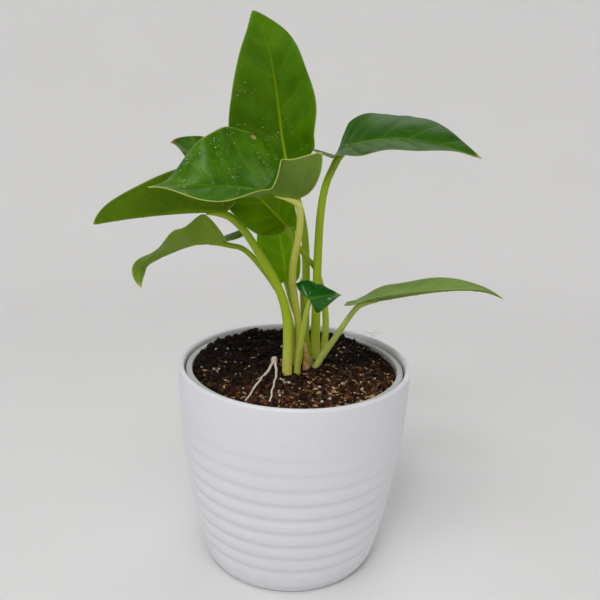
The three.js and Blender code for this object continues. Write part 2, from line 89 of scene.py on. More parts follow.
# %% A node's output as a value
class Value:
    """The output of a shader node, for use in expressions."""

    def __init__(self, finish, socket):
        self.finish = finish
        self.socket = socket

    def math(self, operation, *terms):
        return self.finish.node("ShaderNodeMath", {"operation": operation}, dict(enumerate(terms)))

    def __add__(self, other):
        return self.math("ADD", self, other)

    def __sub__(self, other):
        return self.math("SUBTRACT", self, other)

    def __rsub__(self, other):
        return self.math("SUBTRACT", other, self)

    def __mul__(self, other):
        return self.math("MULTIPLY", self, other)

    __radd__ = __add__
    __rmul__ = __mul__

    def size(self):
        return self.math("ABSOLUTE", self)

    def rise(self, low, high):
        """Climbs smoothly from 0 at low to 1 at high."""
        settings = {"interpolation_type": "SMOOTHSTEP"}
        sockets = {"Value": self, "From Min": low, "From Max": high}
        return self.finish.node("ShaderNodeMapRange", settings, sockets)


print("a value knows", sum(callable(way) for way in vars(Value).values()), "ways to go on")

# %% [markdown]
# A finish starts from the place on the object, in millimetres. Patterns that read the place in space, and
# not a flattened map of the surface, run on without a seam round every edge and need no unwrapping.

# %% A finish
class Finish:
    """A material made of expressions on its nodes."""

    def __init__(self, name):
        self.material = bpy.data.materials.new(name)
        self.material.use_nodes = True
        self.tree = self.material.node_tree
        self.tree.nodes.clear()
        place = self.node("ShaderNodeTexCoord", output="Object")
        self.place = self.node("ShaderNodeVectorMath", {"operation": "SCALE"}, {0: place, "Scale": 1 / MM})

    def node(self, kind, settings=None, sockets=None, output=0):
        made = self.tree.nodes.new(kind)
        for name, setting in (settings or {}).items():
            setattr(made, name, setting)
        for key, value in (sockets or {}).items():
            if isinstance(value, Value):
                self.tree.links.new(value.socket, made.inputs[key])
            else:
                made.inputs[key].default_value = value
        return Value(self, made.outputs[output])

    def attribute(self, name):
        """A number that the mesh stores at each of its points."""
        return self.node("ShaderNodeAttribute", {"attribute_name": name}, output="Fac")

    def noise(self, size, detail=2):
        """Cloudy variation between 0 and 1, with clouds of about that size in millimetres."""
        sockets = {"Vector": self.place, "Scale": 1 / size, "Detail": detail}
        return self.node("ShaderNodeTexNoise", sockets=sockets, output="Fac")

    def spots(self, spacing, width):
        """Round spots of about that width, scattered at that spacing, in millimetres."""
        sockets = {"Vector": self.place, "Scale": 1 / spacing}
        distance = self.node("ShaderNodeTexVoronoi", sockets=sockets, output="Distance")
        return 1 - (distance * spacing).rise(0.3 * width, 0.7 * width)

    def axis(self, name):
        """The place along X, Y or Z, in millimetres."""
        return self.node("ShaderNodeSeparateXYZ", sockets={0: self.place}, output=name)

    def mix(self, mask, low, high):
        """A colour that is low where the mask is 0 and high where it is 1."""
        sockets = {0: mask, 6: low, 7: high}
        return self.node("ShaderNodeMix", {"data_type": "RGBA"}, sockets, output=2)

    def bump(self, height, depth=0.1):
        """A normal tilted by a height between 0 and 1, where 1 stands depth millimetres proud."""
        sockets = {"Height": height, "Distance": depth * MM, "Strength": 1}
        return self.node("ShaderNodeBump", sockets=sockets)

    def gloss(self, **sockets):
        """A Principled shader. A socket's name is written with _ for its spaces."""
        named = {name.replace("_", " "): value for name, value in sockets.items()}
        return self.node("ShaderNodeBsdfPrincipled", sockets=named)

    def done(self, shader):
        """The material, with the shader at its output."""
        end = self.tree.nodes.new("ShaderNodeOutputMaterial")
        self.tree.links.new(shader.socket, end.inputs["Surface"])
        return self.material


print("a finish has", sum(not name.startswith("_") for name in vars(Finish)), "ways to make nodes")

# %% [markdown]
# Colours are written as on a paint chart, from 0 to 255, because they are easy to compare with a picture.
# A shader wants the amount of light instead, and the two are related by the curve of the sRGB standard.

# %% Colours
def colour(red, green, blue):
    """A colour of a paint chart, 0 to 255, as the linear numbers that shaders take."""
    shares = np.array([red, green, blue]) / 255
    linear = np.where(shares < 0.04045, shares / 12.92, ((shares + 0.055) / 1.055) ** 2.4)
    return (*linear, 1)


print("a middle grey sends back", round(colour(128, 128, 128)[0], 3), "of the light")

# %% [markdown]
# Every piece ends as one mesh with smooth shading, a finish and a place in the frame. The function piece
# does this for all of them. Points that coincide are welded, so that a surface closes on itself, and
# numbers that a finish needs, such as the distance to the midrib, are stored on the points.

# %% A piece
WELD_REACH = 0.002


def piece(name, points, faces, slot, finish, stands_for=(), **values):
    """A new object from points in millimetres. values are numbers stored on its points."""
    mesh = bpy.data.meshes.new(name)
    mesh.from_pydata(np.asarray(points) * MM, [], [tuple(face) for face in faces])
    for key, numbers in values.items():
        stored = mesh.attributes.new(key, "FLOAT", "POINT")
        stored.data.foreach_set("value", np.ravel(numbers).astype(np.float32))
    weld(mesh)
    mesh.shade_smooth()
    mesh.materials.append(finish)
    made = bpy.data.objects.new(name, mesh)
    bpy.context.scene.collection.objects.link(made)
    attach(made, "root")
    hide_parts(*stands_for)
    triangles = sum(len(face.vertices) - 2 for face in mesh.polygons)
    print(f"{name}: {triangles} triangles")
    return made


def weld(mesh):
    """Joins points that lie together, and drops faces that this leaves without an area."""
    work = bmesh.new()
    work.from_mesh(mesh)
    bmesh.ops.remove_doubles(work, verts=work.verts, dist=WELD_REACH * MM)
    bmesh.ops.dissolve_degenerate(work, edges=work.edges, dist=WELD_REACH * MM / 2)
    work.to_mesh(mesh)
    work.free()


print("points closer than", WELD_REACH, "mm are welded")

# %% [markdown]
# Nearly every surface here is a grid of points in rows and columns: round and round a pot, along a stalk,
# or out from a midrib. So one function makes the faces of any grid, and closes it on itself where asked.

# %% Grids
def grid_faces(rows, columns, start=0, flip=False, round_rows=False, round_columns=False):
    """Four-sided faces over points laid out in rows and columns."""
    row = np.arange(rows if round_rows else rows - 1)[:, None]
    column = np.arange(columns if round_columns else columns - 1)[None, :]
    next_row, next_column = (row + 1) % rows, (column + 1) % columns
    corners = [(row, column), (row, next_column), (next_row, next_column), (next_row, column)]
    faces = np.stack([start + r * columns + c for r, c in corners], -1).reshape(-1, 4)
    return faces[:, ::-1] if flip else faces


def turned(profile, segments):
    """Points and faces of a profile of (radius, height) turned about Z."""
    profile = np.asarray(profile, float)
    angle = np.linspace(0, 2 * np.pi, segments, endpoint=False)
    x = profile[:, :1] * np.cos(angle)
    y = profile[:, :1] * np.sin(angle)
    z = np.repeat(profile[:, 1:], segments, 1)
    points = np.stack([x, y, z], -1).reshape(-1, 3)
    return points, grid_faces(len(profile), segments, flip=True, round_columns=True)


def ease(share):
    """Climbs smoothly from 0 to 1 as share does."""
    share = np.clip(share, 0, 1)
    return share * share * (3 - 2 * share)


def blend(low, high, share):
    return low + (high - low) * share


print("a grid of 3 rows and 4 columns has", len(grid_faces(3, 4)), "faces")

# %% [markdown]
# The planter is one moulded piece of matte white plastic. Its side has shallow flutes, each nine
# millimetres high, which fade away towards the smooth band under the rim. It could be a cylinder that is
# pulled into shape, but it is the same all round, so a turned profile is simpler and exact. A flute is a
# cosine wave. A power on its phase moves the deepest place up, and then light from above leaves a soft
# dark line under each ridge.

# %% Sizes of the planter
RIM_RADIUS, FOOT_RADIUS, PLANTER_HEIGHT = 65, 50, 117.5
BELLY = 2.1  # how quickly the side swells out above the foot
PLANTER_WALL, PLANTER_FLOOR, FOOT_HEIGHT = 3, 3, 4.6
FLUTE_HEIGHT, FIRST_RIDGE, FLUTE_DEPTH = 9, 9.8, 0.66
FLUTE_SKEW = 1.6
FLUTES_FADE = (48, 98)  # they are deepest below the first height and gone above the second


def planter_radius(height):
    return RIM_RADIUS - (RIM_RADIUS - FOOT_RADIUS) * (1 - height / PLANTER_HEIGHT) ** BELLY


def flute_depth(height):
    """How far a flute takes the side in at a height."""
    above_ridge = (height - FIRST_RIDGE) / FLUTE_HEIGHT % 1
    wave = 0.5 - 0.5 * np.cos(2 * np.pi * above_ridge**FLUTE_SKEW)
    low, high = FLUTES_FADE
    depth = 0.06 + FLUTE_DEPTH * ease((high - height) / (high - low))
    return wave * np.where(height < FIRST_RIDGE, 0.05, depth)


print("radius at half the height:", round(planter_radius(PLANTER_HEIGHT / 2), 1), "mm")

# %% Profile of the planter
SAMPLES_PER_FLUTE = 16


def arc(centre, radius, start, end, count):
    """Points of a round edge of a profile, between two angles in degrees."""
    angle = np.radians(np.linspace(start, end, count))
    return np.stack([centre[0] + radius * np.cos(angle), centre[1] + radius * np.sin(angle)], -1)


def planter_profile():
    """From the middle of the underside out to the foot, up the side, over the rim and down inside."""
    flutes = np.arange(-1, 12)[:, None] + np.linspace(0, 1, SAMPLES_PER_FLUTE, endpoint=False)
    height = FIRST_RIDGE + FLUTE_HEIGHT * flutes.ravel()
    height = height[(height > 7) & (height < PLANTER_HEIGHT - 4)]
    side = np.stack([planter_radius(height) - flute_depth(height), height], -1)
    lip = PLANTER_WALL / 2
    rim = arc((RIM_RADIUS - lip, PLANTER_HEIGHT - lip), lip, 0, 180, 14)
    inside = np.linspace(PLANTER_HEIGHT - 4, PLANTER_FLOOR + 3, 14)
    foot_corner = arc((FOOT_RADIUS - 3, 2.2), 2.2, -90, 0, 8)
    return np.concatenate([
        [[0, 0.8], [FOOT_RADIUS - 9, 0.8], [FOOT_RADIUS - 8.2, 0]],
        foot_corner,
        [[FOOT_RADIUS - 0.8, FOOT_HEIGHT - 0.5], [planter_radius(FOOT_HEIGHT) - 0.3, FOOT_HEIGHT]],
        [[planter_radius(FOOT_HEIGHT + 0.5), FOOT_HEIGHT + 0.6]],
        side,
        [[planter_radius(PLANTER_HEIGHT - 3), PLANTER_HEIGHT - 3]],
        rim,
        np.stack([planter_radius(inside) - PLANTER_WALL, inside], -1),
        [[FOOT_RADIUS - 2 * PLANTER_WALL, PLANTER_FLOOR], [0, PLANTER_FLOOR]],
    ])


print("the profile has", len(planter_profile()), "points")

# %% [markdown]
# The plastic is satin rather than glossy, with a grain finer than a millimetre. A pure white would look
# like paper, so it is clouded a little, and brownish specks make it a little darker towards the bottom.

# %% Planter
def planter_finish():
    f = Finish("matte_white_plastic")
    cloud = f.noise(30, 3)
    grain = f.noise(0.5, 2)
    low = 1 - f.axis("Z").rise(0, 30)
    # Brownish specks, most of them low on the side, make it darker towards the bottom.
    low_specks = f.noise(3, 4).rise(0.5, 0.75) * (0.25 * low + 0.06)
    white = f.mix(cloud, colour(218, 217, 223), colour(224, 223, 229))
    return f.done(f.gloss(
        Base_Color=f.mix(low_specks, white, colour(196, 190, 182)),
        Roughness=0.34 + 0.1 * cloud + 0.2 * low_specks,
        Normal=f.bump(grain, 0.02),
        Coat_Weight=0.1,
        Coat_Roughness=0.3,
    ))


points, faces = turned(planter_profile(), 200)
piece("planter_shell", points, faces, "planter", planter_finish(), ["planter"])

# %% [markdown]
# Inside the planter stands a thin nursery pot. Only its rolled rim shows, as a light grey ring between the
# white lip and the soil, with a dark gap on its outer side. A flat ring would do for the front view, but
# the whole pot is turned, with thin walls, so that the soil meets a real edge from every side.

# %% Sizes and finish of the liner
LINER_BASE, LINER_TOP = 3.3, 115
LINER_BASE_RADIUS, LINER_TOP_RADIUS, FLANGE_RADIUS = 44, 58.7, 61.2
LINER_WALL, FLANGE = 1.2, 1.8


def liner_radius(height):
    share = (height - LINER_BASE) / (LINER_TOP - FLANGE - LINER_BASE)
    return blend(LINER_BASE_RADIUS, LINER_TOP_RADIUS, share)


def liner_finish():
    f = Finish("nursery_pot_grey_and_painted_shade")
    cloud = f.noise(12, 3)
    soiled = f.noise(1.6, 4).rise(0.52, 0.7) * (1 - f.axis("Z").rise(111, 114.6))
    # The liner is a pale grey plastic, painted darker here as painted shade on the sides of its ring.
    grey = f.mix(cloud, colour(174, 176, 174), colour(186, 188, 186))
    return f.done(f.gloss(
        Base_Color=f.mix(0.7 * soiled, grey, colour(92, 78, 66)),
        Roughness=0.42 + 0.3 * soiled,
        Normal=f.bump(f.noise(0.6), 0.02),
    ))


print("radius of the liner at its middle:", round(liner_radius(LINER_TOP / 2), 1), "mm")

# %% Liner
outer = np.linspace(LINER_BASE + 1, LINER_TOP - FLANGE - 0.6, 12)
inner = np.linspace(LINER_TOP - 1.4, LINER_BASE + LINER_WALL + 1, 12)
edge = FLANGE / 2
profile = np.concatenate([
    [[0, LINER_BASE], [LINER_BASE_RADIUS - 1, LINER_BASE]],
    np.stack([liner_radius(outer), outer], -1),
    arc((FLANGE_RADIUS - edge, LINER_TOP - edge), edge, -90, 90, 10),
    arc((LINER_TOP_RADIUS - LINER_WALL + 0.9, LINER_TOP - 0.8), 0.8, 90, 180, 6),
    np.stack([liner_radius(inner) - LINER_WALL, inner], -1),
    [[0, LINER_BASE + LINER_WALL]],
])
points, faces = turned(profile, 160)
piece("nursery_pot", points, faces, "liner", liner_finish(), ["liner"])

# %% [markdown]
# Stalks, roots and fibres are all bent rods. Blender's curves with a bevel could make them, but a rod of
# plain points can also carry a groove and numbers for its finish. It follows a smooth curve through a few
# places, the Catmull-Rom curve, and has a radius that changes along it. Its sides are laid out from the
# world's Y axis, so a rod never twists.

# %% Curves
def through(places, share):
    """Points of a smooth curve through places, at shares of its way from 0 to 1."""
    places = np.asarray(places, float)
    ends = [2 * places[0] - places[1], 2 * places[-1] - places[-2]]
    padded = np.vstack([ends[0], places, ends[1]])
    way = np.clip(share, 0, 1) * (len(places) - 1)
    first = np.minimum(way.astype(int), len(places) - 2)
    step = (way - first)[..., None]
    a, b, c, d = (padded[first + k] for k in range(4))
    bend = (2 * a - 5 * b + 4 * c - d) * step**2 + (3 * b - a - 3 * c + d) * step**3
    return 0.5 * (2 * b + (c - a) * step + bend)


def unit(vectors):
    length = np.linalg.norm(vectors, axis=-1, keepdims=True)
    return vectors / np.maximum(length, 1e-9)


print("halfway through a corner:", through([(0, 0, 0), (1, 0, 0), (1, 1, 0)], np.array([0.25]))[0])

# %% Rods
def rod(path, radius, sides=16, flat=1):
    """Points and faces of a closed rod round the points of path. radius is a number for each point, or
    for each point and side."""
    ahead = unit(np.gradient(path, axis=0))
    side = unit(np.cross([0, 1, 0], ahead))
    up = np.cross(ahead, side)
    angle = np.linspace(0, 2 * np.pi, sides, endpoint=False)
    radius = np.asarray(radius, float)
    radius = radius[:, None] if radius.ndim == 1 else radius
    across, rise = radius * np.cos(angle), radius * np.sin(angle) * flat
    rings = path[:, None] + side[:, None] * across[..., None] + up[:, None] * rise[..., None]
    start, end = (np.repeat(path[[i]], sides, 0)[None] for i in (0, -1))
    points = np.concatenate([start, rings, end])
    return points.reshape(-1, 3), grid_faces(len(points), sides, round_columns=True)


def joined(*parts):
    """One mesh from several pairs of points and faces."""
    starts = np.cumsum([0] + [len(points) for points, _ in parts])
    faces = [[tuple(face) for face in faces + start] for (_, faces), start in zip(parts, starts)]
    return np.concatenate([points for points, _ in parts]), sum(faces, [])


straight = np.array([(0, 0, 0), (0, 0, 1), (0, 0, 2)])
print("a rod of 3 rings and 6 sides has", len(rod(straight, np.ones(3), 6)[1]), "faces")

# %% [markdown]
# The soil is a peaty potting mix, heaped a little round the stalks and at the back left. Real soil is
# many crumbs on a rough ground, so it is built the same way: first a closed body whose top is displaced
# by several sizes of noise, then thousands of small pieces scattered over it.

# %% Height of the soil
SOIL_LEVEL = 112
SOIL_FOOT = LINER_BASE + LINER_WALL + 0.3
SOIL_RADIUS = liner_radius(SOIL_LEVEL) - LINER_WALL - 0.1
SOIL_FOOT_RADIUS = liner_radius(SOIL_FOOT) - LINER_WALL - 0.3


def heap(x, y, middle, height, width):
    return height * np.exp(-((x - middle[0]) ** 2 + (y - middle[1]) ** 2) / width**2)


def soil_relief(x, y):
    """The heaps and clods of the soil, in millimetres above its level. They flatten out at the wall."""
    round_crown = heap(x, y, (9, 12), 3.5, 16)
    at_back_left = heap(x, y, (-26, 28), 3, 22)
    clods = 0.5 * np.sin(0.35 * x + 1) * np.cos(0.31 * y) + 0.35 * np.sin(0.8 * x + 0.5 * y)
    return (round_crown + at_back_left + clods) * (1 - (np.hypot(x, y) / LINER_TOP_RADIUS) ** 6)


def noise_at(points, size):
    """Smooth noise between about -1 and 1, with waves of that size in millimetres."""
    return np.array([noise.noise(Vector(point) / size) for point in points])


def soil_height(x, y):
    """The ground's height, with its roughness and with the soil that climbs the wall at the back."""
    flat = np.stack([x, y, np.zeros_like(x)], -1)
    rough = 1.1 * noise_at(flat, 5) + 0.6 * noise_at(flat + 40, 2.2) + 0.3 * noise_at(flat + 80, 1.1)
    at_back = ease((y - 0.4 * x - 8) / 30)
    against_wall = 2.6 * at_back * ease((np.hypot(x, y) - 44) / 9)
    before_husk = heap(x, y, (6, -9.5), 1.8, 4)
    return SOIL_LEVEL + soil_relief(x, y) + rough + against_wall + before_husk


print("the soil's middle is", round(soil_height(np.zeros(1), np.zeros(1))[0], 1), "mm high")

# %% [markdown]
# Damp peat is nearly black. It is browner at the front right, where it has dried, and each crumb has its
# own tone. That could take many materials, but a number stored on the points of each crumb does it with
# one finish, which the ground shares.

# %% Soil ground
def soil_body():
    """Rings of points from the middle out to the wall, down the wall and back to the middle."""
    rings, segments = 90, 300
    radius = SOIL_RADIUS * np.linspace(0, 1, rings) ** 0.9
    angle = np.linspace(0, 2 * np.pi, segments, endpoint=False)
    x, y = np.outer(radius, np.cos(angle)), np.outer(radius, np.sin(angle))
    z = soil_height(x.ravel(), y.ravel()).reshape(x.shape)
    wall_radius = [SOIL_RADIUS, SOIL_FOOT_RADIUS, 0]
    wall_height = [SOIL_LEVEL - 4, SOIL_FOOT, SOIL_FOOT]
    x = np.vstack([x, np.outer(wall_radius, np.cos(angle))])
    y = np.vstack([y, np.outer(wall_radius, np.sin(angle))])
    z = np.vstack([z, np.repeat(wall_height, segments).reshape(-1, segments)])
    return np.stack([x, y, z], -1).reshape(-1, 3), grid_faces(rings + 3, segments, round_columns=True)


def peat_finish():
    f = Finish("damp_peat")
    dry = (f.axis("X") * 0.35 - f.axis("Y") + 14 * f.noise(14, 2)).rise(2, 46)
    patch = f.noise(3, 4).rise(0.35, 0.7)
    wet = f.mix(patch, colour(6, 4, 3), colour(26, 17, 11))
    loose = f.mix(patch, colour(50, 29, 16), colour(124, 76, 42))
    tint = f.attribute("tint")
    share = (0.12 + 0.88 * dry) * (0.35 * f.noise(7, 2).rise(0.3, 0.7) + 0.65 * tint)
    return f.done(f.gloss(
        Base_Color=f.mix(share, wet, loose),
        Roughness=0.75 + 0.2 * patch,
        Specular_IOR_Level=0.15,
        Normal=f.bump(f.noise(0.5, 3), 0.15),
    ))


GROUND_TINT = 0.25
peat = peat_finish()
points, faces = soil_body()
piece("soil_ground", points, faces, "soil", peat, ["soil"], tint=np.full(len(points), GROUND_TINT))

# %% [markdown]
# The loose bits are crumbs, flakes and splinters. A particle system could scatter them, but seeded random
# numbers give the same pot in each run, and they can be kept off the stalks and the root strands.
# Eight times as many places as needed are drawn, and then some of the free ones are chosen.

# %% Free places on the soil
STALK_FEET = [
    (5, 9), (1.5, 1), (-4, -8), (16, 14), (-1.5, 6), (2, 15),
    (12, 9), (9, 0), (1.8, -7), (4.5, 4), (6.3, -6.7),
]
STRANDS = [
    [(-12, 4), (-16, -12), (-21, -30), (-24, -46)],
    [(-11.5, 4), (-10, -10), (-11, -28), (-12, -45)],
]
ROOM_AT_FOOT, ROOM_AT_STRAND = 3.6, 1.6
DRAWN_PER_PLACE = 8


def strand_path(places, share):
    """The way of a root strand, seen from above."""
    path = through([(x, y, 0) for x, y in places], share)
    path[:, :2] += 0.5 * np.stack([noise_at(path, 6), noise_at(path + 30, 6)], -1)
    return path


KEPT_FREE = [(x, y, ROOM_AT_FOOT) for x, y in STALK_FEET]
for places in STRANDS:
    KEPT_FREE += [(x, y, ROOM_AT_STRAND) for x, y, _ in strand_path(places, np.linspace(0, 1, 40))]


def on_soil(count, towards=(0, 0), inner=0, outer=SOIL_RADIUS - 1.5):
    """Random places on the soil, clear of stalks and roots. They gather in the direction of towards."""
    angle = chance.uniform(0, 2 * np.pi, count * DRAWN_PER_PLACE)
    radius = np.sqrt(chance.uniform(inner**2, outer**2, count * DRAWN_PER_PLACE))
    x, y = radius * np.cos(angle), radius * np.sin(angle)
    room = np.min([np.hypot(x - at_x, y - at_y) - kept for at_x, at_y, kept in KEPT_FREE], 0)
    favour = np.exp(towards[0] * x / 50 + towards[1] * y / 50) * (room > 0)
    chosen = chance.choice(len(x), count, replace=False, p=favour / favour.sum())
    return x[chosen], y[chosen]


print(len(KEPT_FREE), "places are kept free")

# %% [markdown]
# One function makes the bits of every kind. It takes a ball, squeezes and roughens it at random, turns it
# and drops it on the ground. All bits of a kind become one mesh, which keeps the scene light.

# %% A scatter of bits
def ball(level):
    """Points and triangles of a ball of radius 1. A higher level is finer."""
    work = bmesh.new()
    bmesh.ops.create_icosphere(work, subdivisions=level, radius=1)
    points = np.array([vertex.co for vertex in work.verts])
    faces = np.array([[vertex.index for vertex in face.verts] for face in work.faces])
    work.free()
    return points, faces


def random_turns(count, flat):
    """A turn for each bit. A flat bit only spins about Z and leans a little."""
    for _ in range(count):
        spin = Matrix.Rotation(chance.uniform(0, 2 * np.pi), 3, "Z")
        tilt = chance.normal(0, 0.3) if flat else chance.uniform(0, np.pi)
        yield np.array(spin @ Matrix.Rotation(tilt, 3, "X") @ Matrix.Rotation(0.7 * tilt, 3, "Y"))


def bits(count, size, shape, places, level=1, rough=0.4, sunk=0.3, flat=False):
    """Points, faces and tints of many bits. size is the range of the half size, shape squeezes a ball
    along its three axes, and sunk is the share of a bit that is in the ground."""
    ball_points, ball_faces = ball(level)
    x, y = places
    half = blend(size[0], size[1], chance.random(count) ** 2)
    lumps = 1 + rough * chance.normal(0, 0.5, (count, len(ball_points), 1))
    points = ball_points * lumps * np.array(shape) * half[:, None, None]
    points = np.array([bit @ turn.T for bit, turn in zip(points, random_turns(count, flat))])
    low, high = points[..., 2].min(1), points[..., 2].max(1)
    seat = soil_height(x, y) - blend(low, high, sunk)
    points += np.stack([x, y, seat], -1)[:, None]
    faces = ball_faces + len(ball_points) * np.arange(count)[:, None, None]
    tints = np.repeat(chance.random(count), len(ball_points))
    return points.reshape(-1, 3), faces.reshape(-1, 3), tints


print("a bit has", len(ball(1)[1]), "triangles, and a finer one", len(ball(2)[1]))

# %% [markdown]
# Most of the mix is peat crumbs, down to a fine grit. White perlite grains keep it open. Bark lies on top
# as tan chips, long splinters and red flakes, mostly at the front right, with a few golden scales of
# vermiculite. Each kind is one call, with its number, its range of half sizes and its shape.

# %% Loose bits of soil
def bit_piece(name, finish, *groups):
    """Makes one piece of the soil from several groups of bits."""
    points, faces = joined(*[group[:2] for group in groups])
    tints = np.concatenate([group[2] for group in groups])
    return piece(name, points, faces, "soil", finish, tint=tints)


def grain_finish(name, dark, light, roughness=0.7):
    f = Finish(name)
    share = 0.6 * f.attribute("tint") + 0.4 * f.noise(0.8, 3)
    return f.done(f.gloss(
        Base_Color=f.mix(share, dark, light),
        Roughness=roughness,
        Specular_IOR_Level=0.25,
        Normal=f.bump(f.noise(0.3, 3), 0.08),
    ))


bit_piece(
    "soil_crumbs",
    peat,
    bits(1300, (0.5, 2.1), (1, 0.8, 0.65), on_soil(1300), level=2, rough=0.4, sunk=0.28),
    bits(
        300, (0.6, 2.2), (1, 0.8, 0.7),
        on_soil(300, (-0.3, 1), SOIL_RADIUS - 5, SOIL_RADIUS - 1.6),
        level=2, rough=0.4, sunk=0.1,
    ),
)
bit_piece("soil_grit", peat, bits(5000, (0.2, 0.75), (1, 0.7, 0.55), on_soil(5000), rough=0.7, sunk=0.1))
bit_piece(
    "perlite",
    grain_finish("white_perlite", colour(176, 170, 162), colour(232, 228, 222)),
    bits(110, (0.25, 1.2), (1, 0.85, 0.75), on_soil(110, (0.2, -0.2)), level=2, rough=0.22, sunk=0.3),
)
bit_piece(
    "bark_chips",
    grain_finish("tan_bark", colour(118, 78, 44), colour(232, 196, 140)),
    bits(240, (0.7, 2.4), (1, 0.45, 0.28), on_soil(240, (0.9, -2.4)), rough=0.25, sunk=0.1, flat=True),
    bits(80, (1.4, 3.4), (1, 0.22, 0.16), on_soil(80, (0.9, -1.8)), rough=0.15, sunk=0.0, flat=True),
)
bit_piece(
    "red_bark",
    grain_finish("red_bark", colour(58, 32, 20), colour(132, 80, 48)),
    bits(170, (0.6, 2.2), (1, 0.6, 0.4), on_soil(170, (0.9, -1.8)), rough=0.3, sunk=0.2, flat=True),
)
bit_piece(
    "vermiculite",
    grain_finish("golden_flakes", colour(140, 96, 40), colour(214, 168, 92), roughness=0.35),
    bits(60, (0.5, 1.3), (1, 0.8, 0.35), on_soil(60, (1.4, -0.4)), rough=0.15, sunk=0.2, flat=True),
)

# %% [markdown]
# Peat holds fine pale rootlets and plant fibres, and its own moss fibres make it fluffy. Hair particles
# could grow them, but a fibre of peat has both its ends in the ground. So each is a thin bent rod that
# rises out of the soil and goes back into it: a few long pale ones, many short dark ones, and more dark
# ones along the wall at the back.

# %% Fibres in the soil
def fibre(longest, rise, thick, **where):
    """A rod over the soil. thick is the range of its radius, and where says where fibres gather."""
    x, y = on_soil(1, **where)
    length, heading = chance.uniform(longest / 4, longest), chance.uniform(0, 2 * np.pi)
    share = np.linspace(-0.5, 0.5, 5)
    drift = heading + 1.2 * chance.normal() * share
    px = x + length * share * np.cos(drift)
    py = y + length * share * np.sin(drift)
    inside = np.minimum(1, (SOIL_RADIUS - 1) / np.hypot(px, py))
    px, py = px * inside, py * inside
    height = soil_height(px, py) + chance.uniform(0.3, rise) * (1 - (2 * share) ** 2) - 0.15
    steps = int(8 + 0.5 * longest)
    path = through(np.stack([px, py, height], -1), np.linspace(0, 1, steps))
    return rod(path, np.full(steps, chance.uniform(*thick)), sides=4)


def fibre_piece(name, finish, fibres):
    """Makes one piece of the soil from many fibres, each with its own tint."""
    points, faces = joined(*fibres)
    tint = np.repeat(chance.random(len(fibres)), [len(points) for points, _ in fibres])
    piece(name, points, faces, "soil", finish, tint=tint)


dry_fibre = grain_finish("dry_fibre", colour(88, 62, 44), colour(186, 158, 122))
fibre_piece("fibres", dry_fibre, [fibre(11, 1.4, (0.05, 0.13), towards=(0.3, -0.6)) for _ in range(200)])
peat_fibre = grain_finish("peat_fibre", colour(12, 8, 6), colour(66, 42, 28))
fluff = [fibre(4, 2.2, (0.06, 0.16)) for _ in range(1300)]
fluff += [fibre(5, 3, (0.06, 0.14), towards=(-0.6, 2), inner=SOIL_RADIUS - 6) for _ in range(400)]
fibre_piece("peat_fluff", peat_fibre, fluff)

# %% [markdown]
# At the back right three pale hairs of root rise over the soil and the rim. There are so few of them that
# each is given its own curve.

# %% Pale hairs
HAIR_RADIUS = 0.11
HAIRS = [
    [(34, 38, 113), (40, 42, 118.5), (47, 45, 119.5), (54, 42, 120.5)],
    [(26, 44, 113), (33, 46, 119), (42, 44, 121), (50, 40, 119)],
    [(44, 30, 113), (46, 36, 118), (49, 40, 122), (51, 45, 123)],
]
hair_share = np.linspace(0, 1, 30)
hairs = [rod(through(places, hair_share), np.full(30, HAIR_RADIUS), sides=5) for places in HAIRS]
fibre_piece("pale_hairs", grain_finish("pale_hair", colour(196, 188, 176), colour(236, 232, 224)), hairs)

# %% [markdown]
# The nine leaves have one plan and nine shapes. The plan is half a heart, given from the lobe beside the
# stalk to the tip. For each of its points it says how far along and across the blade it lies, and where on
# the midrib the side vein that runs to it begins. So lines from the midrib to the outline are the veins,
# and they make a grid that follows the leaf's growth. A flat outline that is bent afterwards would be
# simpler, but its edges would cut across the veins.

# %% Plan of half a leaf
HALF_OUTLINE = [
    (-0.11, 0.17, 0), (-0.165, 0.4, 0), (-0.12, 0.68, 0), (0.02, 0.92, 0.02), (0.2, 1, 0.08),
    (0.4, 0.93, 0.22), (0.59, 0.72, 0.4), (0.76, 0.45, 0.6), (0.9, 0.18, 0.8), (1, 0, 1),
]
VEINS_AROUND = [0, 0.12, 0.25, 0.37, 0.47, 0.57, 0.67, 0.77, 0.87, 1]  # where veins reach the outline
VEIN_SWEEP = 1.15  # over 1, veins leave the midrib more squarely and bend forward further out
LOBE_END = 0.2
print("half a leaf has", len(VEINS_AROUND), "side veins")

# %% [markdown]
# Each leaf then has its own midrib, a cubic curve, and a face: the way its upper side looks at the stalk,
# midway and at the tip. Each half has a width, is folded up from the midrib by so many degrees and curls
# further out to its margin. These are given at stations along the midrib, from the lobe to the tip.

# %% The nine leaves
STATIONS = [-0.2, 0.25, 0.6, 1]
STALK_FOOT = 106

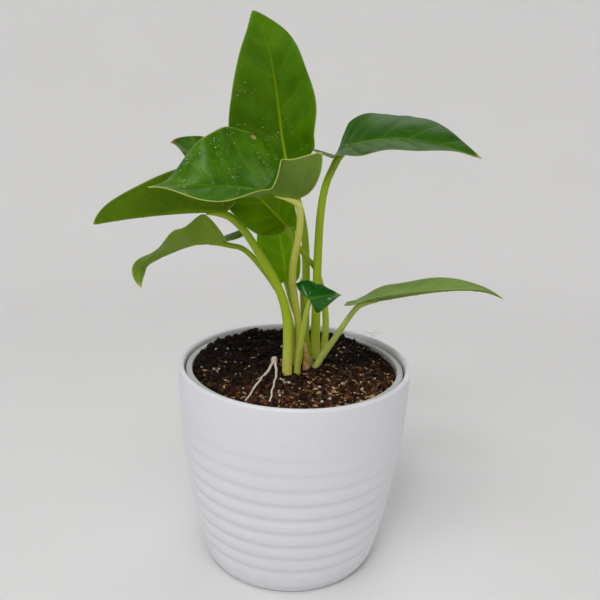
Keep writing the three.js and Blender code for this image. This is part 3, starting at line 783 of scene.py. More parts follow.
LEAVES = {
    "upright": {
        "midrib": [(-6, 18, 219), (-15, 30, 241), (-13, 7, 284), (-28, 12, 302)],
        "face": [(0.1, -1, 0.05), (0.15, -1, 0.1), (0, -1, 0.25)],
        "left": {"width": 30, "fold": [0, 5, 5, 0], "curl": [10, 10, 10, 10], "taper": 0.8, "lift": 30},
        "right": {
            "width": 24, "fold": [35, 35, 15, -40], "curl": [55, 40, 25, 0], "taper": 0.65,
            "full": [1, 1.15, 0.95, 0.95], "lift": 30,
            "turned_up": [(0.12, 0.1, 2.6), (0.5, 0.09, 1.6)],
        },
        "wave": (0.8, 2, 0.5),
        "stalk": [(5, 9, STALK_FOOT), (5, 10, 141), (3, 15, 187), (-6, 18, 219)],
        "stalk_radius": (2.8, 1.9),
    },
    "front": {
        "midrib": [(0, -30, 214), (-26, -44, 221), (-43, -56, 223), (-69, -55, 220)],
        "face": [(-0.1, -0.2, 1), (0.1, -0.1, 1), (0, -0.3, 1.1)],
        "left": {
            "width": 30, "stations": [-0.2, 0.2, 0.36, 0.6, 1], "fold": [45, 40, -20, -20, 20],
            "curl": [60, 90, 80, 45, -10], "taper": 1.05, "full": [1.3, 0.65, 0.95, 1.1, 1],
            "lobe": 0.2, "lift": -30,
        },
        "right": {
            "width": 36, "fold": [5, 25, 50, -15], "curl": [10, 15, -5, 5], "taper": 0.85,
            "full": [0.9, 1.15, 0.95, 1.1], "lift": 20,
        },
        "wave": (1, 2, 0.5),
        "stalk": [(1.5, 1, STALK_FOOT), (2, -6, 135), (-3, -13, 170), (0, -22, 196), (0, -30, 214)],
        "stalk_radius": (2.3, 1.7),
    },
    "left": {
        "midrib": [(-36, -20, 205), (-56, -18, 205), (-88, -35, 202), (-102, -29, 197)],
        "face": [(0, 0.1, 1), (0, 0.1, 1), (-0.3, 0.1, 1)],
        "left": {
            "width": 27, "fold": [45, 55, 50, 55], "curl": [10, 10, 10, 0],
            "full": [1, 1, 0.95, 1.1], "lobe": 0.5, "lift": 10,
        },
        "right": {
            "width": 18, "fold": [60, 50, 40, 35], "curl": [0, 0, 0, 0], "taper": 0.75, "lobe": 0.3,
        },
        "wave": (0.6, 2, 0.5),
        "stalk": [(-4, -8, STALK_FOOT), (-6, -13, 152), (-22, -20, 186), (-36, -20, 205)],
        "stalk_radius": (2.9, 1.9),
    },
    "back": {
        "midrib": [(-7, -5, 195), (-20, 3, 208), (-51, 6, 233), (-70, 10, 235)],
        "face": [(0.35, -1, 0.65), (0.3, -0.7, 1), (-0.3, -0.2, 1)],
        "left": {
            "width": 17, "fold": [30, -5, -15, 20], "curl": [5, -10, 0, 5], "taper": 0.55,
            "lobe": 0.2,
        },
        "right": {
            "width": 15, "fold": [90, 50, 45, 20], "curl": [5, 15, 10, 5], "taper": 0.45,
            "lobe": 0.6,
        },
        "wave": (0.6, 2, 0.5),
        "stalk": [(16, 14, STALK_FOOT), (17, 14, 139), (11, 11.5, 166), (3, 3, 178), (-7, -5, 195)],
        "stalk_radius": (2.2, 1.3),
    },
    "drooping": {
        "midrib": [(-39, -2, 185), (-51, 5, 183), (-91, -12, 185), (-81, -21, 163)],
        "face": [(0.1, 0.1, 1), (-0.3, 0.1, 1), (-0.3, 1, 0.2)],
        "face_stations": [0, 0.55, 1],
        "left": {
            "width": 21, "stations": [-0.2, 0.2, 0.45, 1], "fold": [60, 40, 10, -35],
            "curl": [20, 25, 35, -5], "taper": 0.8, "full": [1.1, 1, 1.05, 0.95], "lobe": 0.4,
            "slant": 0.2,
        },
        "right": {"width": 12, "fold": [50, 0, -20, 35], "curl": [0, -15, -25, 10], "taper": 0.8},
        "wave": (0.6, 2, 0.5),
        "stalk": [(-1.5, 6, STALK_FOOT), (-5, 5, 145), (-25, 2, 176), (-39, -2, 185)],
        "stalk_radius": (2.2, 1.4),
    },
    "hidden": {
        "midrib": [(-7, 22, 158), (-9, 32, 176), (-14, 31, 195), (-23, 34, 217)],
        "face": [(0.1, -1, 0.1), (0.1, -1, 0.2), (0.1, -1, 0.4)],
        "left": {"width": 16, "fold": [40, 15, 10, 10], "curl": [10, 10, 10, 10], "lobe": 0.3},
        "right": {"width": 11, "fold": [40, 20, 15, 10], "curl": [20, 20, 10, 10], "lobe": 0.3},
        "wave": (0.5, 2, 0.5),
        "stalk": [(2, 15, STALK_FOOT), (2, 17, 131), (-3, 20, 145), (-7, 22, 158)],
        "stalk_radius": (2.2, 1.4),
    },
    "right": {
        "midrib": [(17, 4, 232), (30, 3, 244), (61, -4, 245), (91, -10, 234)],
        "face": [(0, 0, 1), (0.1, -0.2, 1), (0.3, -0.3, 1)],
        "face_stations": [0, 0.35, 1],
        "left": {
            "width": 28, "stations": [-0.2, 0.2, 0.6, 1], "fold": [-20, 15, 35, 15],
            "curl": [10, 10, -50, 15], "taper": 0.8, "full": [0.95, 1.1, 1.25, 0.95], "lobe": 0.1,
            "slant": 0.2,
        },
        "right": {"width": 22, "fold": [-5, 0, -10, 15], "curl": [10, -5, 15, -5], "lift": 60},
        "wave": (0.8, 2, 0.5),
        "stalk": [(12, 9, STALK_FOOT), (11, 6, 141), (11, 4, 202), (17, 4, 232)],
        "stalk_radius": (3.1, 1.9),
    },
    "low": {
        "midrib": [(34, -4, 155), (52, -6, 157), (93, -14, 174), (109, -16, 162)],
        "face": [(0, 0.27, 1), (0, 0.27, 1), (0.2, 0.27, 1)],
        "left": {"width": 21, "fold": [-10, 20, 25, 20], "curl": [0, 0, 0, 0], "lobe": 0.6},
        "right": {"width": 20, "fold": [-15, 0, 0, 5], "curl": [10, 10, 0, 0], "lobe": 0.6},
        "wave": (0.4, 2, 0.5),
        "stalk": [(9, 0, STALK_FOOT), (14, 0, 118), (23, -2, 134), (34, -4, 155)],
        "stalk_radius": (2.5, 1.5),
    },
    "young": {
        "midrib": [(6, -24, 161), (7, -25, 163), (19, -30, 165), (23, -28, 165)],
        "face": [(-0.1, -0.9, 0.6), (0, -0.9, 0.6), (0.3, -0.9, 0.4)],
        "left": {
            "width": 12, "fold": [15, -25, -25, 0], "curl": [-10, -20, -20, 0], "taper": 1.8,
            "full": [1.15, 0.9, 0.85, 1], "lobe": 0.3,
        },
        "right": {
            "width": 9, "fold": [-5, -15, -5, -5], "curl": [-30, -30, -20, 0], "taper": 1.8,
            "full": [0.85, 0.95, 1.05, 1.05], "lobe": 0.1,
        },
        "wave": (0.2, 2, 0.5),
        "rib_depth": 0.6,
        "stalk": [(1.8, -6.5, STALK_FOOT), (1.7, -9.5, 119), (4.3, -18, 145), (6, -24, 161)],
        "stalk_radius": (2.2, 1.3),
    },
}
print(len(LEAVES), "leaves")

# %% [markdown]
# The middle sheet of a blade is worked out for all points of its grid at once. A row of the grid is a side
# vein, and a column runs from the lobe to the tip at one share of the way out. It starts from the midrib,
# which carries its own directions: ahead, out of its face, and sideways.

# %% Midrib
def eased_at(stations, values, place):
    """A value that is given at some stations and changes smoothly between them."""
    step = np.clip(np.searchsorted(stations, place, side="right") - 1, 0, len(stations) - 2)
    stations, values = np.asarray(stations, float), np.asarray(values, float)
    share = ease((place - stations[step]) / (stations[step + 1] - stations[step]))
    return blend(values[step], values[step + 1], share)


def midrib_frame(leaf, share):
    """Place, direction, face and sideways direction of the midrib at shares of its way."""
    p = np.array(leaf["midrib"], float)
    t = share[..., None]
    r = 1 - t
    place = p[0] * r**3 + 3 * p[1] * r**2 * t + 3 * p[2] * r * t**2 + p[3] * t**3
    ahead = unit((p[1] - p[0]) * r**2 + 2 * (p[2] - p[1]) * r * t + (p[3] - p[2]) * t**2)
    stations = leaf.get("face_stations", [0, 0.5, 1])
    face = np.stack([eased_at(stations, values, share) for values in zip(*leaf["face"])], -1)
    face = unit(face - ahead * np.sum(face * ahead, -1, keepdims=True))
    return place, ahead, face, np.cross(ahead, face)


def midrib_length(leaf):
    place = midrib_frame(leaf, np.linspace(0, 1, 100))[0]
    return np.linalg.norm(np.diff(place, axis=0), axis=1).sum()


print("midribs in millimetres:", {name: round(midrib_length(leaf)) for name, leaf in LEAVES.items()})

# %% [markdown]
# Out from the midrib, a half follows a circular arc that starts at the angle of its fold and bends by its
# curl. A low wave runs along its outer part, and the lobe leans up or down. An arc keeps the width of the
# leaf the same however much it curls, as on a real blade, which bends but does not stretch.

# %% Half of a sheet
SECOND_WAVE = 0.9  # how far the wave of the right half runs ahead of the left one, in radians


def half_plan(half, around, outward):
    """How far along the midrib and how far out the points of one half lie, as shares."""
    edge = through(HALF_OUTLINE, around)
    along = np.where(edge[..., 0] < 0, edge[..., 0] * half.get("lobe", 1), edge[..., 0])
    across = np.maximum(edge[..., 1], 0)
    across = np.where(along > LOBE_END, across ** half.get("taper", 1), across)
    if "full" in half:
        across = across * eased_at(half.get("stations", STATIONS), half["full"], along)
    along = along + half.get("slant", 0) * across * (1 - along) ** 2
    place = edge[..., 2] + (along - edge[..., 2]) * outward**VEIN_SWEEP
    return place, across * outward


def half_sheet(leaf, side, around, outward):
    """Points of one half of the middle sheet, with the place on the midrib and the distance from it."""
    half = leaf["left"] if side < 0 else leaf["right"]
    place, out = half_plan(half, around, outward)
    stations = half.get("stations", STATIONS)
    fold = np.radians(eased_at(stations, half["fold"], place))
    curl = np.radians(eased_at(stations, half["curl"], place)) + 1e-5
    sideways = (np.sin(fold + curl * out) - np.sin(fold)) / curl * half["width"]
    upward = (np.cos(fold) - np.cos(fold + curl * out)) / curl * half["width"]
    height, count, phase = leaf["wave"]
    offset = SECOND_WAVE if side > 0 else 0
    upward = upward + height * np.sin(2 * np.pi * count * place + phase + offset) * out**2
    for at, length, rise in half.get("turned_up", []):
        upward = upward + rise * np.exp(-(((place - at) / length) ** 2)) * ease((outward - 0.62) / 0.38)

    point, ahead, face, sideways_axis = midrib_frame(leaf, np.clip(place, 0, 1))
    back = np.minimum(place, 0) * midrib_length(leaf)
    lift = np.radians(half.get("lift", 0))
    point = point + ahead * (back * np.cos(lift))[..., None]
    point = point + face * (upward - back * np.sin(lift))[..., None]
    point = point + sideways_axis * (side * sideways)[..., None]
    return point, place, out * half["width"]


widest = max(LEAVES, key=lambda name: LEAVES[name]["left"]["width"] + LEAVES[name]["right"]["width"])
print("the widest leaf is the", widest, "one")

# %% [markdown]
# The two halves share the midrib's column. Rows and columns stand closer where the surface changes
# quickly: at the veins, at the midrib and at the margin. The sheet's normals come from the differences
# between neighbouring points. For the relief and the colours each point also gets the number of its vein,
# the gap between veins there, and its distances to the margin and to the midrib.

# %% Middle sheet of a blade
ROWS_PER_VEIN = 15
COLUMNS = 26


def gathered(steps):
    """Even steps, drawn towards the whole numbers."""
    return steps - 0.75 * np.sin(2 * np.pi * steps) / (2 * np.pi)


def sheet_lines():
    """Vein numbers of the rows, and shares of the way out of the columns. The left half is negative."""
    steps = np.arange(len(VEINS_AROUND) - 1)[:, None] + np.linspace(0, 1, ROWS_PER_VEIN, endpoint=False)
    veins = gathered(np.append(steps.ravel(), len(VEINS_AROUND) - 1))
    spread = gathered(np.linspace(0, 1, COLUMNS))
    return veins, np.concatenate([-spread[:0:-1], spread])


def sheet_normals(points, face):
    """The normals of a grid of points, on the side that face looks to."""
    normals = unit(np.cross(np.gradient(points, axis=0), np.gradient(points, axis=1)))
    normals[np.linalg.norm(normals, axis=-1) < 0.5] = 0
    middle = COLUMNS - 1
    normals[:, middle] = unit(normals[:, middle - 1] + normals[:, middle + 1] + 0.1 * face[:, middle])
    normals[-1] = normals[-2]
    return -normals if np.sum(normals * face) < 0 else normals


def margin_distance(points):
    """Distance from each point of a grid to the nearest point of its outline."""
    outline = np.concatenate([points[0], points[:, 0], points[:, -1]])
    tree = KDTree(len(outline))
    for i, point in enumerate(outline):
        tree.insert(point, i)
    tree.balance()
    return np.array([[tree.find(point)[2] for point in row] for row in points])


def blade_sheet(leaf):
    """The middle sheet's grid: points, normals, and the numbers that relief and colours need."""
    veins, outward = sheet_lines()
    around = np.interp(veins, np.arange(len(VEINS_AROUND)), VEINS_AROUND)
    around_grid, outward_grid = np.meshgrid(around, outward, indexing="ij")
    left, right = (half_sheet(leaf, side, around_grid, np.abs(outward_grid)) for side in (-1, 1))
    on_left = outward_grid < 0
    points = np.where(on_left[..., None], left[0], right[0])
    place, rib = (np.where(on_left, left[i], right[i]) for i in (1, 2))
    row_steps = np.linalg.norm(np.gradient(points, axis=0), axis=-1)
    return {
        "points": points,
        "normals": sheet_normals(points, midrib_frame(leaf, np.clip(place, 0, 1))[2]),
        "veins": np.repeat(veins[:, None], len(outward), 1),
        "gap": row_steps / np.gradient(veins)[:, None],
        "edge": margin_distance(points),
        "place": place,
        "rib": rib,
        "outward": np.abs(outward_grid),
    }


print("a blade's sheet has", " rows and ".join(str(len(lines)) for lines in sheet_lines()), "columns")

# %% [markdown]
# A leaf blade is half a millimetre thick, thin as paper at its margin. The tissue swells between the side
# veins. On the upper side the veins lie in shallow grooves, and on the underside they stand out as ridges,
# most of all the midrib. A bump map could draw all this, but it would fail where a leaf is seen from its
# edge. So these are true shapes that catch the light: the sheet is moved up and down along its normals
# by small sums of bumps. The two faces meet where the thickness is nothing.

# %% Relief of a blade
BLADE_THICKNESS = 0.5
THINNED = 0.8  # width of the strip in which a blade thins to its margin
SWELL, VEIN_GROOVE, VEIN_RIDGE, KEEL = 0.05, 0.14, 0.22, 1.4


def bump_of(distance, width):
    """1 where the distance is 0, and next to nothing beyond twice the width."""
    return np.exp(-((distance / width) ** 2))


def blade_relief(leaf, sheet):
    """How far the upper and the under face stand from the middle sheet."""
    from_vein = np.abs(sheet["veins"] - np.round(sheet["veins"])) * sheet["gap"]
    is_rib = ease((sheet["place"] + 0.03) / 0.03)
    inland = ease(sheet["edge"] / 2.5)
    thin = 1 - 0.75 * sheet["outward"]
    swell = SWELL * np.minimum(sheet["gap"], 9) * np.sin(np.pi * sheet["veins"]) ** 2
    swell = swell * inland * ease(sheet["rib"] / 5)
    keel = leaf.get("rib_depth", KEEL) * (1 - 0.85 * np.clip(sheet["place"], 0, 1))
    keel_width = 0.35 + 1.1 * (1 - np.clip(sheet["place"], 0, 1))
    rib = sheet["rib"] + 20 * (1 - is_rib)
    groove = VEIN_GROOVE * thin * bump_of(from_vein, 0.5) * inland * ease(sheet["rib"] / 1.5)
    channel = 0.4 * bump_of(rib, 0.9 * keel_width) - 0.25 * bump_of(rib, 0.4 * keel_width)
    ridge = VEIN_RIDGE * thin * bump_of(from_vein, 0.45) * inland
    half = BLADE_THICKNESS / 2 * np.sqrt(1 - (1 - np.clip(sheet["edge"] / THINNED, 0, 1)) ** 2)
    upper = swell - groove - channel * inland + half
    under = -swell * 0.6 + ridge + keel * bump_of(rib, keel_width) * inland + half
    return upper * np.minimum(1, half * 50), under * np.minimum(1, half * 50)


def blade(name, leaf, finish):
    """Makes a leaf's piece, and gives the points of its upper face and its sheet."""
    sheet = blade_sheet(leaf)
    upper, under = blade_relief(leaf, sheet)
    top = sheet["points"] + sheet["normals"] * upper[..., None]
    bottom = sheet["points"] - sheet["normals"] * under[..., None]
    rows, columns = upper.shape
    points = np.concatenate([top.reshape(-1, 3), bottom.reshape(-1, 3)])
    faces = np.concatenate([
        grid_faces(rows, columns),
        grid_faces(rows, columns, start=rows * columns, flip=True),
    ])
    stored = {key: np.tile(sheet[key].ravel(), 2) for key in ("veins", "gap", "edge", "place", "rib")}
    stored["upper"] = np.repeat([1.0, 0.0], rows * columns)
    piece(f"{name}_leaf", points, faces, "blade", finish, [f"{name}_blade"], **stored)
    return top, sheet


print("a blade is", BLADE_THICKNESS, "mm thick, and its midrib stands out by up to", KEEL, "mm more")

# %% [markdown]
# Each leaf has its own greens, because in a real plant age and light change them: a deep and a fresh one
# for the upper side, one for the veins, one for the underside, and one for the light that shines through.
# Some leaves also have a tip of another colour, a base painted lighter as painted light, a dried blemish,
# or pale specks painted as the highlights of the fine mist from the last watering.

# %% Greens of the leaves
MARGIN, SAGE, OLIVE = colour(200, 210, 110), colour(118, 144, 40), colour(74, 104, 0)
# The second colour is a light green, painted on a shaded leaf base as painted light.
DRY, PAINTED_LIGHT_GREEN = colour(206, 170, 104), colour(126, 176, 2)
LEAF_GREENS = {
    "upright": dict(
        deep=colour(68, 114, 0), fresh=colour(96, 142, 4), vein=colour(170, 200, 6), under=SAGE,
        glow=colour(96, 156, 0), mist_glints=0.15, veined=0.05, tip=colour(110, 152, 20),
    ),
    "front": dict(
        deep=colour(50, 104, 0), fresh=colour(92, 142, 4), vein=colour(132, 172, 40),
        # Its underside is painted greyer than its own green, as a painted sheen on the curled lobe.
        under=colour(114, 139, 56), glow=colour(90, 150, 0), mist_glints=0.5, margin=0.95, veined=0.1,
        gloss=0.3, shine=0.3, ribbed=0.4, tip=colour(224, 208, 120),
        scars=[((-24.9, -10.7, 240.4), 2.8), ((-29, -13, 239.5), 1.8)],
    ),
    "left": dict(
        deep=colour(62, 108, 0), fresh=colour(86, 134, 4), vein=colour(150, 180, 10), under=OLIVE,
        glow=colour(150, 200, 0), veined=0.06, thin=0.36,
    ),
    "back": dict(
        deep=colour(34, 80, 0), fresh=colour(56, 104, 4), vein=colour(190, 212, 20), under=SAGE,
        # Its base is painted a lighter green, as painted light where the front leaf shades it.
        glow=colour(110, 170, 0), mist_glints=0.4, tip=colour(150, 84, 50), painted_light_base=0.9,
    ),
    "drooping": dict(
        deep=colour(62, 112, 2), fresh=colour(96, 142, 10), vein=colour(160, 186, 60),
        under=colour(144, 174, 60), glow=colour(140, 180, 0),
    ),
    # The hidden leaf's greens are painted lighter than its own colour, as painted light on a leaf in shade.
    "hidden": dict(
        deep=colour(112, 164, 0), fresh=colour(140, 186, 4), vein=colour(196, 220, 20), under=SAGE,
        glow=colour(180, 230, 0), veined=0.3, mist_glints=0.3, thin=0.36,
    ),
    "right": dict(
        deep=colour(34, 82, 0), fresh=colour(64, 114, 6), vein=colour(112, 156, 50), under=SAGE,
        glow=colour(80, 134, 0), mist_glints=0.2, veined=0.14,
    ),
    # The low leaf's greens are painted pale and greyish, as the painted sheen of light grazing its upper
    # side.
    "low": dict(
        deep=colour(102, 138, 34), fresh=colour(140, 168, 62), vein=colour(160, 184, 84), under=SAGE,
        glow=colour(140, 180, 20), veined=0.1,
    ),
    "young": dict(
        deep=colour(14, 84, 16), fresh=colour(26, 108, 24), vein=colour(80, 140, 40),
        under=colour(96, 130, 0), glow=colour(60, 130, 0), veined=0.02, margin=0.1, gloss=0.1, shine=0.6,
    ),
}
print("blemishes:", sum(len(greens.get("scars", [])) for greens in LEAF_GREENS.values()))

# %% [markdown]
# A leaf's colour follows its veins, but only just: these leaves are smooth and wet, and from a step away
# only the pale midrib shows. The upper side has clouds of its two greens, a slightly paler ground at the
# veins and a yellowish margin. The underside is duller. A painted texture could hold all this, but the
# numbers on the points draw it sharp at any distance. Light passes through a leaf and makes it glow from
# behind, so the finish mixes a glossy surface with a translucent one.

# %% Leaves
def leaf_finish(
    name, deep, fresh, vein, under, glow, tip=MARGIN, scars=(), painted_light_base=0.0,
    veined=0.14, ribbed=0.85, margin=0.3, mist_glints=0.0, gloss=0.36, shine=0.18, thin=0.3,
):
    f = Finish(f"{name}_leaf_green")
    veins, gap, rib, edge, place = (f.attribute(key) for key in ("veins", "gap", "rib", "edge", "place"))
    upper = f.attribute("upper").rise(0.4, 0.6)
    fine = veins * 6
    to_vein = (veins - veins.math("ROUND", veins)).size() * gap
    to_fine = (fine - fine.math("ROUND", fine)).size() * gap * (1 / 6)
    cloud = f.noise(12, 3).rise(0.3, 0.7)
    fleck = f.noise(1.4, 4).rise(0.3, 0.7)
    on_rib = (1 - (rib + 0.6 * place).rise(0.3, 1.5)) * (1 - 0.85 * place.rise(0.1, 0.9))
    on_vein = (1 - to_vein.rise(0.08, 0.4)) * (1 - 0.7 * rib.rise(3, 26))
    by_vein = 1 - to_vein.rise(0.2, 2.8)
    on_fine = 1 - to_fine.rise(0.02, 0.2)
    at_tip = (place + 0.02 * fleck).rise(0.965, 1.0)

    ground = f.mix(0.7 * cloud + 0.3 * fleck, deep, fresh)
    # A lighter green is painted over the base of a leaf that asks for it, as painted light.
    ground = f.mix(painted_light_base * (1 - place.rise(0.2, 0.65)), ground, PAINTED_LIGHT_GREEN)
    ground = f.mix(0.7 * veined * by_vein + 0.25 * veined * on_fine, ground, vein)
    ground = f.mix(veined * on_vein, ground, vein)
    ground = f.mix(ribbed * on_rib, ground, vein)
    # Whitish specks are painted over the upper side as the highlights of fine mist.
    wet = mist_glints * f.spots(1.3, 0.42) * f.noise(6, 2).rise(0.45, 0.6)
    ground = f.mix(wet, ground, colour(176, 198, 168))
    below = f.mix(0.5 * fleck + 0.5 * cloud, under, f.mix(0.4, under, vein))
    below = f.mix(0.3 * on_vein + 0.5 * on_rib, below, vein)
    skin = f.mix(upper, below, ground)
    skin = f.mix(margin * (1 - edge.rise(0.25, 0.7)), skin, MARGIN)
    skin = f.mix(at_tip, skin, tip)
    for spot, width in scars:
        away = f.node("ShaderNodeVectorMath", {"operation": "DISTANCE"}, {0: f.place, 1: spot}, "Value")
        dried = 1 - (away + 1.5 * f.noise(1, 3)).rise(0.5 * width, width)
        skin = f.mix(0.9 * dried, skin, DRY)
    surface = f.gloss(
        Base_Color=skin,
        Roughness=0.5 - (0.5 - gloss) * upper + 0.1 * fleck,
        Normal=f.bump(0.6 * f.noise(0.4, 2) + 0.4 * to_fine.rise(0, 0.3), 0.04),
        Specular_IOR_Level=shine,
        Specular_Tint=(0.85, 1, 0.6, 1),
        Coat_Weight=0.04,
        Coat_Roughness=0.15,
    )
    through_leaf = f.node("ShaderNodeBsdfTranslucent", sockets={"Color": glow})
    return f.done(f.node("ShaderNodeMixShader", sockets={0: thin, 1: surface, 2: through_leaf}))


blades = {}
for name, leaf in LEAVES.items():
    blades[name] = blade(name, leaf, leaf_finish(name, **LEAF_GREENS[name]))

# %% [markdown]
# The plant has just been watered, and round drops stand on the upper sides, most of all on the front leaf.
# A drop on a leaf is a squashed ball, half sunk in the surface. A bump in the finish would be cheaper, but
# it would vanish from the side. Each drop takes its place and its upright from a cell of the blade's own
# grid, so it sits on the leaf. Chance gathers them in clusters.

# %% Water drops
DROP_RADII = (0.2, 0.6)
# For each leaf: how many drops, and where they gather, as a share of the midrib and millimetres from it.
# The left half has negative distances.
DROPS = {
    "front": (260, 0.35, 12), "upright": (150, 0.05, -16), "right": (70, 0, 4), "back": (40, 0.6, 0),
    "hidden": (50, 0.5, 0), "left": (40, 0.1, 8), "drooping": (14, 0.3, 0), "low": (10, 0.3, 0),
}


def water_finish():
    f = Finish("water_with_painted_glints")
    return f.done(f.gloss(
        # The drops are not fully clear: a pale green share is painted into them as their highlights.
        Base_Color=f.mix(f.noise(2), colour(206, 236, 150), colour(236, 250, 190)),
        Roughness=0.03, Transmission_Weight=0.78, IOR=1.33,
    ))


def drops_on(top, sheet, count, share, across):
    """Squashed balls on the cells of a blade's upper side, most of them near one place."""
    rows, columns = np.nonzero((sheet["edge"] > 1.2) & (sheet["rib"] > 1))
    inside = (rows < len(top) - 1) & (columns < top.shape[1] - 1)
    rows, columns = rows[inside], columns[inside]
    half = np.where(columns < COLUMNS - 1, -1, 1)
    away = np.hypot(60 * (sheet["place"][rows, columns] - share), half * sheet["rib"][rows, columns] - across)
    cluster = 4 * noise_at(top[rows, columns], 7) - (away / 22) ** 2
    weight = sheet["gap"][rows, columns] * np.exp(cluster)
    chosen = chance.choice(len(rows), count, replace=False, p=weight / weight.sum())
    ball_points, ball_faces = ball(2)
    for row, column in zip(rows[chosen], columns[chosen]):
        down, over = chance.random(2)
        near, far = (blend(top[r, column], top[r, column + 1], over) for r in (row, row + 1))
        normal = Vector(sheet["normals"][row, column])
        turn = np.array(normal.to_track_quat("Z", "Y").to_matrix())
        radius = blend(*DROP_RADII, chance.random() ** 2)
        squashed = ball_points * [1, chance.uniform(0.8, 1), 0.5] * radius
        yield squashed @ turn.T + blend(near, far, down), ball_faces


drops = [drop for name, numbers in DROPS.items() for drop in drops_on(*blades[name], *numbers)]
points, faces = joined(*drops)
piece("water_drops", points, faces, "blade", water_finish())

# %% [markdown]
# A stalk is round and firm, thicker at its foot, and bends into the blade at a soft knee, where it runs on
# as the midrib. A rod that only ends at the blade would leave a joint there. So each rod follows its
# stalk's curve and then the underside of the midrib for a centimetre, and the corner between them is
# smoothed away by averaging neighbours many times.

# %% Way of a stalk
KNEE_RUN = 12
SMOOTHINGS = 30


def stalk_path(leaf):
    """The middle line of a stalk, and how many of its points run under the midrib."""
    way = np.linspace(0, 1, 110)
    share = np.linspace(0.01, KNEE_RUN / midrib_length(leaf), 14)
    place, ahead, face, _ = midrib_frame(leaf, share)
    under = face * leaf["stalk_radius"][1]
    rise = through(leaf["stalk"], way) - under[0] * ease((way[:, None] - 0.8) / 0.2)
    path = np.concatenate([rise[:-1], place - under])
    for _ in range(SMOOTHINGS):
        path[1:-1] = 0.25 * path[:-2] + 0.5 * path[1:-1] + 0.25 * path[2:]
    return path, len(place)


print("a stalk follows", len(stalk_path(LEAVES["front"])[0]), "points")

# %% [markdown]
# A stalk is pale at its foot and greener towards the blade, with soft clouds and fine pale flecks. A
# shallow groove runs up one side, as on many aroids. It is cut into the rod's radius, which may change
# from side to side as well as from point to point.

# %% Stalks
def stalk_finish(name, foot, middle, top):
    f = Finish(f"{name}_stalk_green")
    share = f.attribute("share")
    streak = f.noise(1.2, 3)
    tone = f.mix(share.rise(0.02, 0.35), foot, f.mix(share.rise(0.3, 1), middle, top))
    fleck = f.spots(1.1, 0.28)
    tone = f.mix(0.35 * streak.rise(0.4, 0.7), tone, top)
    return f.done(f.gloss(
        Base_Color=f.mix(0.4 * fleck, tone, colour(206, 212, 140)),
        Roughness=0.42 + 0.15 * streak,
        Normal=f.bump(f.noise(0.5, 3), 0.05),
        Specular_IOR_Level=0.3,
        Coat_Weight=0.05,
        Coat_Roughness=0.25,
    ))


def stalk(name, leaf, finish):
    """Makes the rod of a stalk, a little swollen at the knee and thin where it ends under the midrib."""
    path, run = stalk_path(leaf)
    count, sides = len(path), 24
    share = np.clip(np.arange(count) / (count - run), 0, 1)
    foot, top = leaf["stalk_radius"]
    radius = top + (foot - top) * (1 - share) ** 1.5
    radius = radius * (1 + 0.07 * bump_of(share - 0.97, 0.03))
    shrink = np.clip((np.arange(count) - (count - run)) / run, 0, 1)
    radius = radius * (1 - 0.75 * ease(shrink))
    angle = np.linspace(0, 2 * np.pi, sides, endpoint=False)
    toward = np.arctan2(np.sin(angle - 0.9), np.cos(angle - 0.9))
    groove = 0.12 * np.outer(ease((share - 0.2) / 0.4), bump_of(toward, 0.35))
    points, faces = rod(path, radius[:, None] * (1 - groove), sides)
    stored = np.repeat(np.concatenate([[0], share, [1]]), sides)
    piece(f"{name}_stem", points, faces, "stalk", finish, [f"{name}_stalk"], share=stored)


YELLOW_GREEN, FRESH_GREEN, PALE_FOOT = colour(168, 192, 12), colour(138, 166, 4), colour(222, 224, 104)
STALK_GREENS = {name: (PALE_FOOT, YELLOW_GREEN, FRESH_GREEN) for name in LEAVES}
STALK_GREENS["front"] = (colour(200, 206, 84), colour(182, 186, 56), colour(206, 210, 96))
STALK_GREENS["low"] = (colour(222, 226, 130), colour(186, 202, 96), colour(180, 200, 96))
STALK_GREENS["young"] = (colour(222, 224, 120), colour(198, 208, 80), colour(166, 186, 60))
for name, leaf in LEAVES.items():
    stalk(name, leaf, stalk_finish(name, *STALK_GREENS[name]))

# %% [markdown]
# Between the stalk feet sits the short stem, the crown. It is a low dome, turned like the pot, and a little
# noise takes away its evenness.

# %% Crown
CROWN_PLACE = np.array([4.5, 4, SOIL_LEVEL])
CROWN_PROFILE = [(0, -12), (5.5, -12), (6.5, -2), (6.3, 2), (5.5, 5), (4.4, 7), (2.6, 8.4), (0, 9)]


def tissue_finish(name, low, high, streak_size=1.5, gloss=0.5, thin=0.0):
    f = Finish(name)
    skin = f.mix(f.noise(streak_size, 4).rise(0.3, 0.7), low, high)
    surface = f.gloss(Base_Color=skin, Roughness=gloss, Normal=f.bump(f.noise(0.5, 3), 0.1))
    glow = f.node("ShaderNodeBsdfTranslucent", sockets={"Color": high})
    return f.done(f.node("ShaderNodeMixShader", sockets={0: thin, 1: surface, 2: glow}))


profile = through([(r, 0, z) for r, z in CROWN_PROFILE], np.linspace(0, 1, 40))[:, [0, 2]]
profile[:, 0] = np.abs(profile[:, 0])
points, faces = turned(profile, 48)
points = points * (1 + 0.04 * noise_at(points, 3)[:, None] * [1, 1, 0]) + CROWN_PLACE
crown_green = tissue_finish("crown_green", colour(120, 128, 60), colour(176, 178, 104))
piece("crown_stem", points, faces, "crown", crown_green, ["crown"])

# %% [markdown]
# Beside the crown stand the olive sheath that the youngest leaf grew out of, and a dry papery husk. Both
# are thin scales, so each is a rod that is squeezed flat and drawn to a point.

# %% Husk and sheath
SCALES = {
    "husk": ([(6.3, -6.6, STALK_FOOT), (6.3, -6.8, 114), (6, -6.6, 123), (5.2, -6.2, 131)], 1.9, 0.5),
    "sheath": ([(5.9, -3.2, STALK_FOOT), (6.4, -2.7, 126), (3.6, -3, 148), (1.6, -5.5, 168)], 2.1, 0.6),
}


